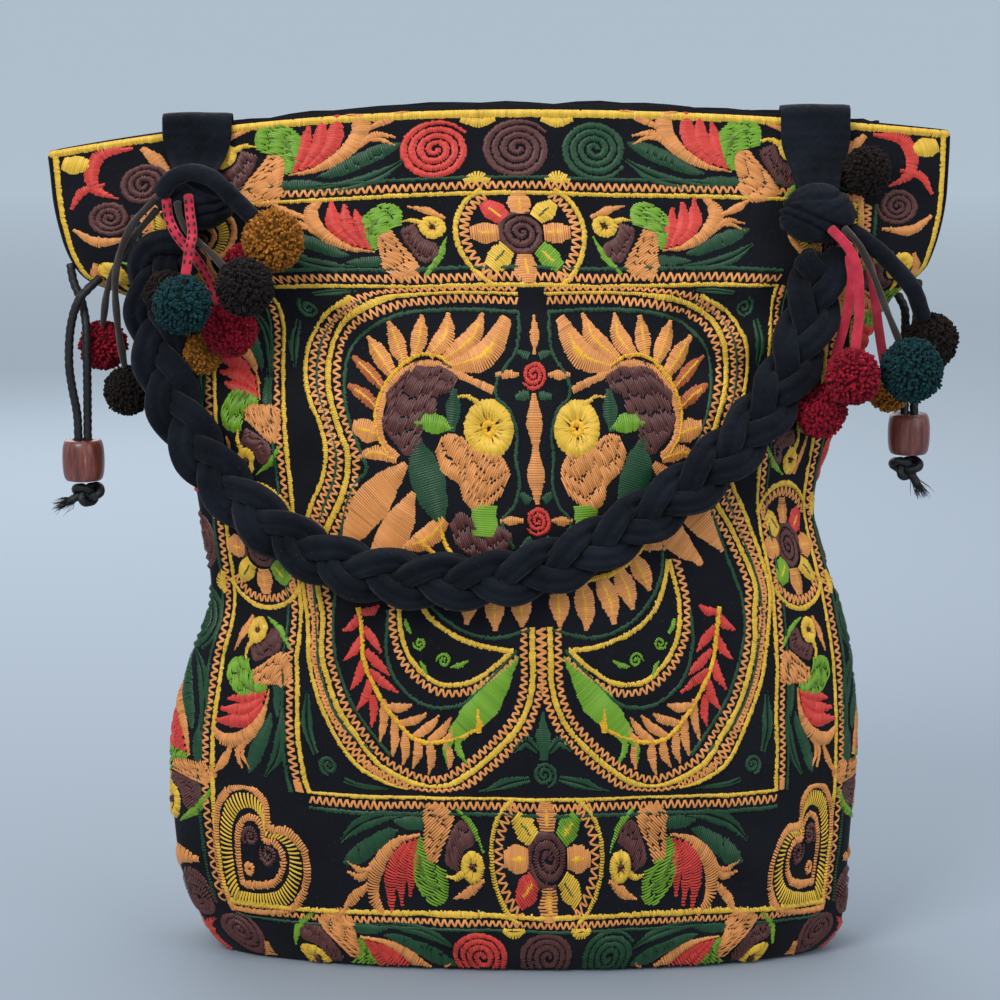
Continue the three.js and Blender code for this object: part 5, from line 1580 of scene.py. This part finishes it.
def build_band(side, sizes):
    """A flat jersey strap end, folded over the rim and gathered into its knot."""
    low, high = (np.array(c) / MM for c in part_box("band_" + side))
    knot_low, knot_high = (np.array(c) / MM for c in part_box("knot_" + side))
    x = (low[0] + high[0]) / 2
    top, foot = high[2], low[2]
    front, back = low[1], high[1]
    cloth = cloth_of(-1)
    rim = top - 7
    thick = 2.2
    outside = front_depth(x, rim - 2, 16) - 0.5 - thick / 2
    lower = front_depth(x, rim - 14, 20) - 0.5 - thick / 2
    neck_z = knot_high[2] - 3
    route = [
        (x, back - thick / 2, foot + 1), (x, back - thick / 2, rim - 6), (x, back - thick / 2 - 0.4, top - 3),
        (x, (back + outside) / 2, top - thick / 2), (x, outside + 0.4, top - 3), (x, outside, rim),
        (x, lower, rim - 13), (x, min(lower - 0.6, (knot_low[1] + knot_high[1]) / 2 + 2), neck_z),
    ]
    line = spline(route, 1.6)
    count = len(line)
    full, neck = (high - low)[0], 21
    fall = np.linspace(0, 1, count)
    gather = smoothstep(fall, 0.66, 1)
    wide = full + (neck - full) * gather
    sections = []
    cross = 26
    for k in range(count):
        share = np.linspace(-1, 1, cross // 2)
        pleats = gather[k] * 1.3 * np.cos(share * 9.5) + 0.12 * np.sin(share * 5 + k * 0.23)
        bow = gather[k] * 2.2 * (1 - share**2)
        place, wall = share * wide[k] / 2, thick / 2 * (1 - 0.55 * np.abs(share) ** 6)
        above = np.stack([place, wall + pleats + bow], axis=1)
        below = np.stack([place[::-1], -wall + pleats[::-1] + bow[::-1]], axis=1)
        sections.append(np.vstack([above, below]))
    sections = np.array(sections)
    tangent = unit(np.gradient(line, axis=0))
    across = np.broadcast_to([1.0, 0, 0], line.shape)
    out = unit(np.cross(across, tangent))
    rings = line[:, None] + sections[..., :1] * across[:, None] + sections[..., 1:] * out[:, None]
    points = rings.reshape(-1, 3)
    sides = sections.shape[1]
    faces = grid_quads(count, sides, closed=True).tolist()
    faces.append(list(range(sides))[::-1])
    faces.append([(count - 1) * sides + i for i in range(sides)])
    points = np.clip(points, low - 2, high + np.array([2, 2, 1]))
    piece = make_piece(
        "strap_" + side, points, face_out(points, faces), finish_of("jersey"), ["band_" + side]
    )


def build_knot(side, sizes):
    """A jersey knot: a full lump over two turns that wrap the top of the braid."""
    low, high = (np.array(c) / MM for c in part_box("knot_" + side))
    middle, half = (low + high) / 2, (high - low) / 2
    rows, columns = 64, 96
    lift = np.linspace(-1, 1, rows)
    around = np.arange(columns) / columns * 2 * math.pi
    tilt = 0.32 if side == "left" else -0.32
    lift_grid, around_grid = np.meshgrid(lift * math.pi / 2, around, indexing="ij")
    x, y = np.cos(lift_grid) * np.cos(around_grid), np.cos(lift_grid) * np.sin(around_grid)
    z = np.sin(lift_grid)
    swell = np.ones_like(x)
    valleys = ((-0.12, 0.06, 0.2, tilt), (-0.5, 0.055, 0.18, tilt * 1.4), (0.55, 0.08, 0.1, -tilt))
    for place, wide, deep, slope in valleys:
        valley = z - place - slope * x - 0.12 * np.sin(around_grid * 2)
        swell -= deep * np.exp(-((valley / wide) ** 2)) * (1 - 0.3 * np.abs(x))
    for waves, deep in ((7, 0.018), (13, 0.012), (21, 0.008)):
        swell += deep * np.sin(waves * (z * 1.3 + x * 0.8 * np.sign(tilt)) + waves) * np.cos(lift_grid)
    fuller = 1 - 0.12 * z
    wide_x, wide_y = half[0] * 1.04 * fuller, half[1] * 1.04 * fuller
    points = np.stack([x * wide_x, y * wide_y, z * half[2] * 1.06], axis=-1) * swell[..., None]
    points = (points + middle).reshape(-1, 3)
    faces = face_out(points, grid_quads(rows, columns, closed=True).tolist())
    piece = make_piece("knot_lump_" + side, points, faces, finish_of("jersey"), ["knot_" + side])


def braid_line(sizes):
    """The middle of the braid from knot to knot, as the solid strands have it."""
    half, height = sizes["cloth_width"] / 2, sizes["bag_height"]
    rise, thick, gap, braid_width, knot_height = 5.9, 7.0, 0.4, 26, 27
    left, right = centre_of("knot_left"), centre_of("knot_right")
    points = []
    for x, z in BRAID_ROUTE:
        rest = front_depth(x * half, z * height, braid_width * 0.75) - gap - rise - thick / 2
        points.append((x * half, rest, z * height))
    start = -knot_height / 2 - 2 * gap - rise
    points[0] = (left[0] - 3, points[0][1], left[2] + start)
    points[-1] = (right[0], points[-1][1], right[2] + start)
    return spline(points, 2.0)


def build_braid(sizes):
    """The three padded strands of the handle, each over and under the other two."""
    line = braid_line(sizes)
    period, full_width, rise = 73, 28.5, 4.1
    turns = run_of(line) / period
    across, out = frames_along(line, TOWARDS_FRONT)
    t = np.linspace(0, 1, len(line))
    wide, thick = sizes["strand_width"], sizes["strand_thickness"]
    swing = (full_width - wide) / 2
    for number in range(3):
        angle = 2 * math.pi * (turns * t + number / 3)
        side = swing * np.sin(angle)
        lift = rise * np.sin(2 * angle)
        path = respace(line + across * side[:, None] + out * lift[:, None], 2.0)
        sections = padded_sections(len(path), wide, thick, 60 + number, 26, 0.07)
        sections[..., 1] *= 1 - 0.4 * np.exp(-((sections[..., 0] / (0.13 * wide)) ** 2))
        points, faces = sweep(path, sections, TOWARDS_FRONT)
        name = str(number + 1)
        replaced = ["braid_strand_" + name]
        piece = make_piece("plait_" + name, points, faces, finish_of("jersey"), replaced)


# Pompoms.


def build_pompom(name, wool, sizes, seed):
    """A ball of cut yarn: a core and close tufts, each a short thick end of its own shade, with painted shade
    darkening the tufts towards their roots and the core.
    """
    low, high = (np.array(c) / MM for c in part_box("pompom_" + name))
    middle, half = (low + high) / 2, (high - low) / 2
    radius = half[2]
    rng = np.random.default_rng(seed)
    count = int(bpy.context.scene.bag_sizes.tufts * (radius / 15.5) ** 2)
    k = np.arange(count) + 0.5
    z = 1 - 2 * k / count
    turn = math.pi * (1 + 5**0.5) * k
    way = np.stack([np.sqrt(1 - z * z) * np.cos(turn), np.sqrt(1 - z * z) * np.sin(turn), z], axis=1)
    way = unit(way + rng.normal(0, 0.035, way.shape))
    lean = unit(way + rng.normal(0, 0.13, way.shape))
    start = np.cross(way, (0.31, 0.17, 0.94))
    first = unit(start)
    second = np.cross(way, first)
    yarn = sizes["yarn"]
    reach = radius * (0.99 + rng.normal(0, 0.032, count))
    sides = 4
    spokes = np.arange(sides) / sides * 2 * math.pi
    rings = []
    for share, thick in ((0.72, 0.5), (0.9, 0.62), (0.985, 0.5)):
        centre = way * radius * 0.7 + (lean * reach[:, None] - way * radius * 0.7) * ((share - 0.7) / 0.3)
        spin = rng.uniform(0, 1.2, (count, 1))
        turned = (spokes + spin)[..., None]
        out = first[:, None] * np.cos(turned) + second[:, None] * np.sin(turned)
        rings.append(centre[:, None] + out * yarn * thick)
    tip = lean * reach[:, None] * 1.012
    points = np.concatenate([np.concatenate(rings, axis=1), tip[:, None]], axis=1)
    per = sides * 3 + 1
    quads = grid_quads(3, sides, closed=True)
    tris = np.array([[2 * sides + i, 2 * sides + (i + 1) % sides, 3 * sides] for i in range(sides)])
    starts = (np.arange(count) * per)[:, None, None]
    faces = (quads[None] + starts).reshape(-1, 4).tolist() + (tris[None] + starts).reshape(-1, 3).tolist()
    shade = np.clip(rng.normal(0.5, 0.15, count), 0.1, 0.9)
    # Painted shade: each tuft's shade falls to 0.72 halfway down and to 0.28 at its root, so it is darker
    # towards the core.
    inner = np.repeat([0.28, 0.72, 1.0, 1.0], [sides, sides, sides, 1])
    values = (shade[:, None] * inner[None]).ravel()
    squash = np.array([half[0] / radius, half[1] / radius, 1])
    points = points.reshape(-1, 3) * squash
    rows, columns = 18, 28
    lat = np.linspace(-math.pi / 2, math.pi / 2, rows)
    lon = np.arange(columns) / columns * 2 * math.pi
    la, lo = np.meshgrid(lat, lon, indexing="ij")
    core = np.stack([np.cos(la) * np.cos(lo), np.cos(la) * np.sin(lo), np.sin(la)], axis=-1).reshape(-1, 3)
    core = core * radius * 0.86 * squash
    core_faces = grid_quads(rows, columns, closed=True).tolist()
    # The core is painted near black (0.05) as the shade deep inside the ball.
    points, faces, values = joined([(points, faces, values), (core, face_out(core, core_faces), 0.05)])
    slot = "wool_" + wool
    make_piece("wool_" + name, points + middle, faces, finish_of(slot), ["pompom_" + name], values)


# Operators.


class BAG_OT_stage(bpy.types.Operator):
    """Add the camera, the soft lights and the pale floor"""

    bl_idname = "bag.stage"
    bl_label = "Stage"

    def execute(self, context):
        build_stage()
        return {"FINISHED"}


class BAG_OT_beads(bpy.types.Operator):
    """Add the wooden beads and the knots at the ends of the drawstrings"""

    bl_idname = "bag.beads"
    bl_label = "Beads and end knots"

    def execute(self, context):
        sizes = sizes_mm()
        for side in ("left", "right"):
            build_bead(side, sizes)
            build_end_knot(side, sizes)
        return {"FINISHED"}


class BAG_OT_pompoms(bpy.types.Operator):
    """Add the pompoms of cut wool"""

    bl_idname = "bag.pompoms"
    bl_label = "Pompoms"

    def execute(self, context):
        sizes = sizes_mm()
        for seed, (name, wool) in enumerate(POMPOMS.items()):
            build_pompom(name, wool, sizes, 100 + seed)
        return {"FINISHED"}


class BAG_OT_drawstrings(bpy.types.Operator):
    """Add the twisted drawstrings at both sides"""

    bl_idname = "bag.drawstrings"
    bl_label = "Drawstrings"

    def execute(self, context):
        for side in ("left", "right"):
            build_drawstring(side, sizes_mm())
        return {"FINISHED"}


class BAG_OT_hangers(bpy.types.Operator):
    """Add the jersey ends, suede strips and round cords that the pompoms hang from"""

    bl_idname = "bag.hangers"
    bl_label = "Pompom cords"

    def execute(self, context):
        sizes = sizes_mm()
        stitched = []
        for hanger in HANGERS:
            line = build_hanger(hanger, sizes)
            if hanger["node"].startswith("suede_left"):
                stitched.append(line)
        build_suede_stitches(stitched, sizes)
        return {"FINISHED"}


class BAG_OT_cloth(bpy.types.Operator):
    """Add the two panels, their seams and the lining"""

    bl_idname = "bag.cloth"
    bl_label = "Cloth"

    def execute(self, context):
        sizes = sizes_mm()
        for side in (-1, 1):
            build_panel(side, sizes)
        build_seams(sizes)
        build_lining(sizes)
        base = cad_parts["base_panel"]
        base.data.materials.clear()
        base.data.materials.append(finish_of("hem"))
        return {"FINISHED"}


class BAG_OT_embroidery(bpy.types.Operator):
    """Sew the embroidery on both panels"""

    bl_idname = "bag.embroidery"
    bl_label = "Embroidery"

    def execute(self, context):
        for side in (-1, 1):
            build_embroidery(side, sizes_mm())
        return {"FINISHED"}


class BAG_OT_handle(bpy.types.Operator):
    """Add the strap ends, the knots and the braided handle"""

    bl_idname = "bag.handle"
    bl_label = "Handle"

    def execute(self, context):
        sizes = sizes_mm()
        for side in ("left", "right"):
            build_band(side, sizes)
            build_knot(side, sizes)
        build_braid(sizes)
        return {"FINISHED"}


STEPS = (
    BAG_OT_stage, BAG_OT_beads, BAG_OT_pompoms, BAG_OT_drawstrings, BAG_OT_hangers,
    BAG_OT_cloth, BAG_OT_embroidery, BAG_OT_handle,
)


class BAG_PT_panel(bpy.types.Panel):
    """Lists the steps, sizes and colours of the bag"""

    bl_idname = "BAG_PT_panel"
    bl_label = "Cloth Bag"
    bl_space_type = "VIEW_3D"
    bl_region_type = "UI"
    bl_category = "Cloth Bag"

    def draw(self, context):
        for step in STEPS:
            self.layout.operator(step.bl_idname)
        for group in (context.scene.bag_sizes, context.scene.bag_colours):
            box = self.layout.box()
            for key in group.__annotations__:
                box.prop(group, key)


CLASSES = (BAG_PG_sizes, BAG_PG_colours, *STEPS, BAG_PT_panel)


def register():
    """Registers the classes and their settings."""
    for item in CLASSES:
        bpy.utils.register_class(item)
    bpy.types.Scene.bag_sizes = bpy.props.PointerProperty(type=BAG_PG_sizes)
    bpy.types.Scene.bag_colours = bpy.props.PointerProperty(type=BAG_PG_colours)


def unregister():
    """Takes the classes and their settings away."""
    del bpy.types.Scene.bag_colours
    del bpy.types.Scene.bag_sizes
    for item in reversed(CLASSES):
        bpy.utils.unregister_class(item)


def main():
    """Builds the bag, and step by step."""
    register()
    bpy.ops.bag.stage()
    bpy.ops.bag.beads()
    bpy.ops.bag.pompoms()
    bpy.ops.bag.drawstrings()
    bpy.ops.bag.hangers()
    bpy.ops.bag.cloth()
    bpy.ops.bag.embroidery()
    bpy.ops.bag.handle()
    bpy.context.view_layer.update()


if __name__ == "__main__":
    main()
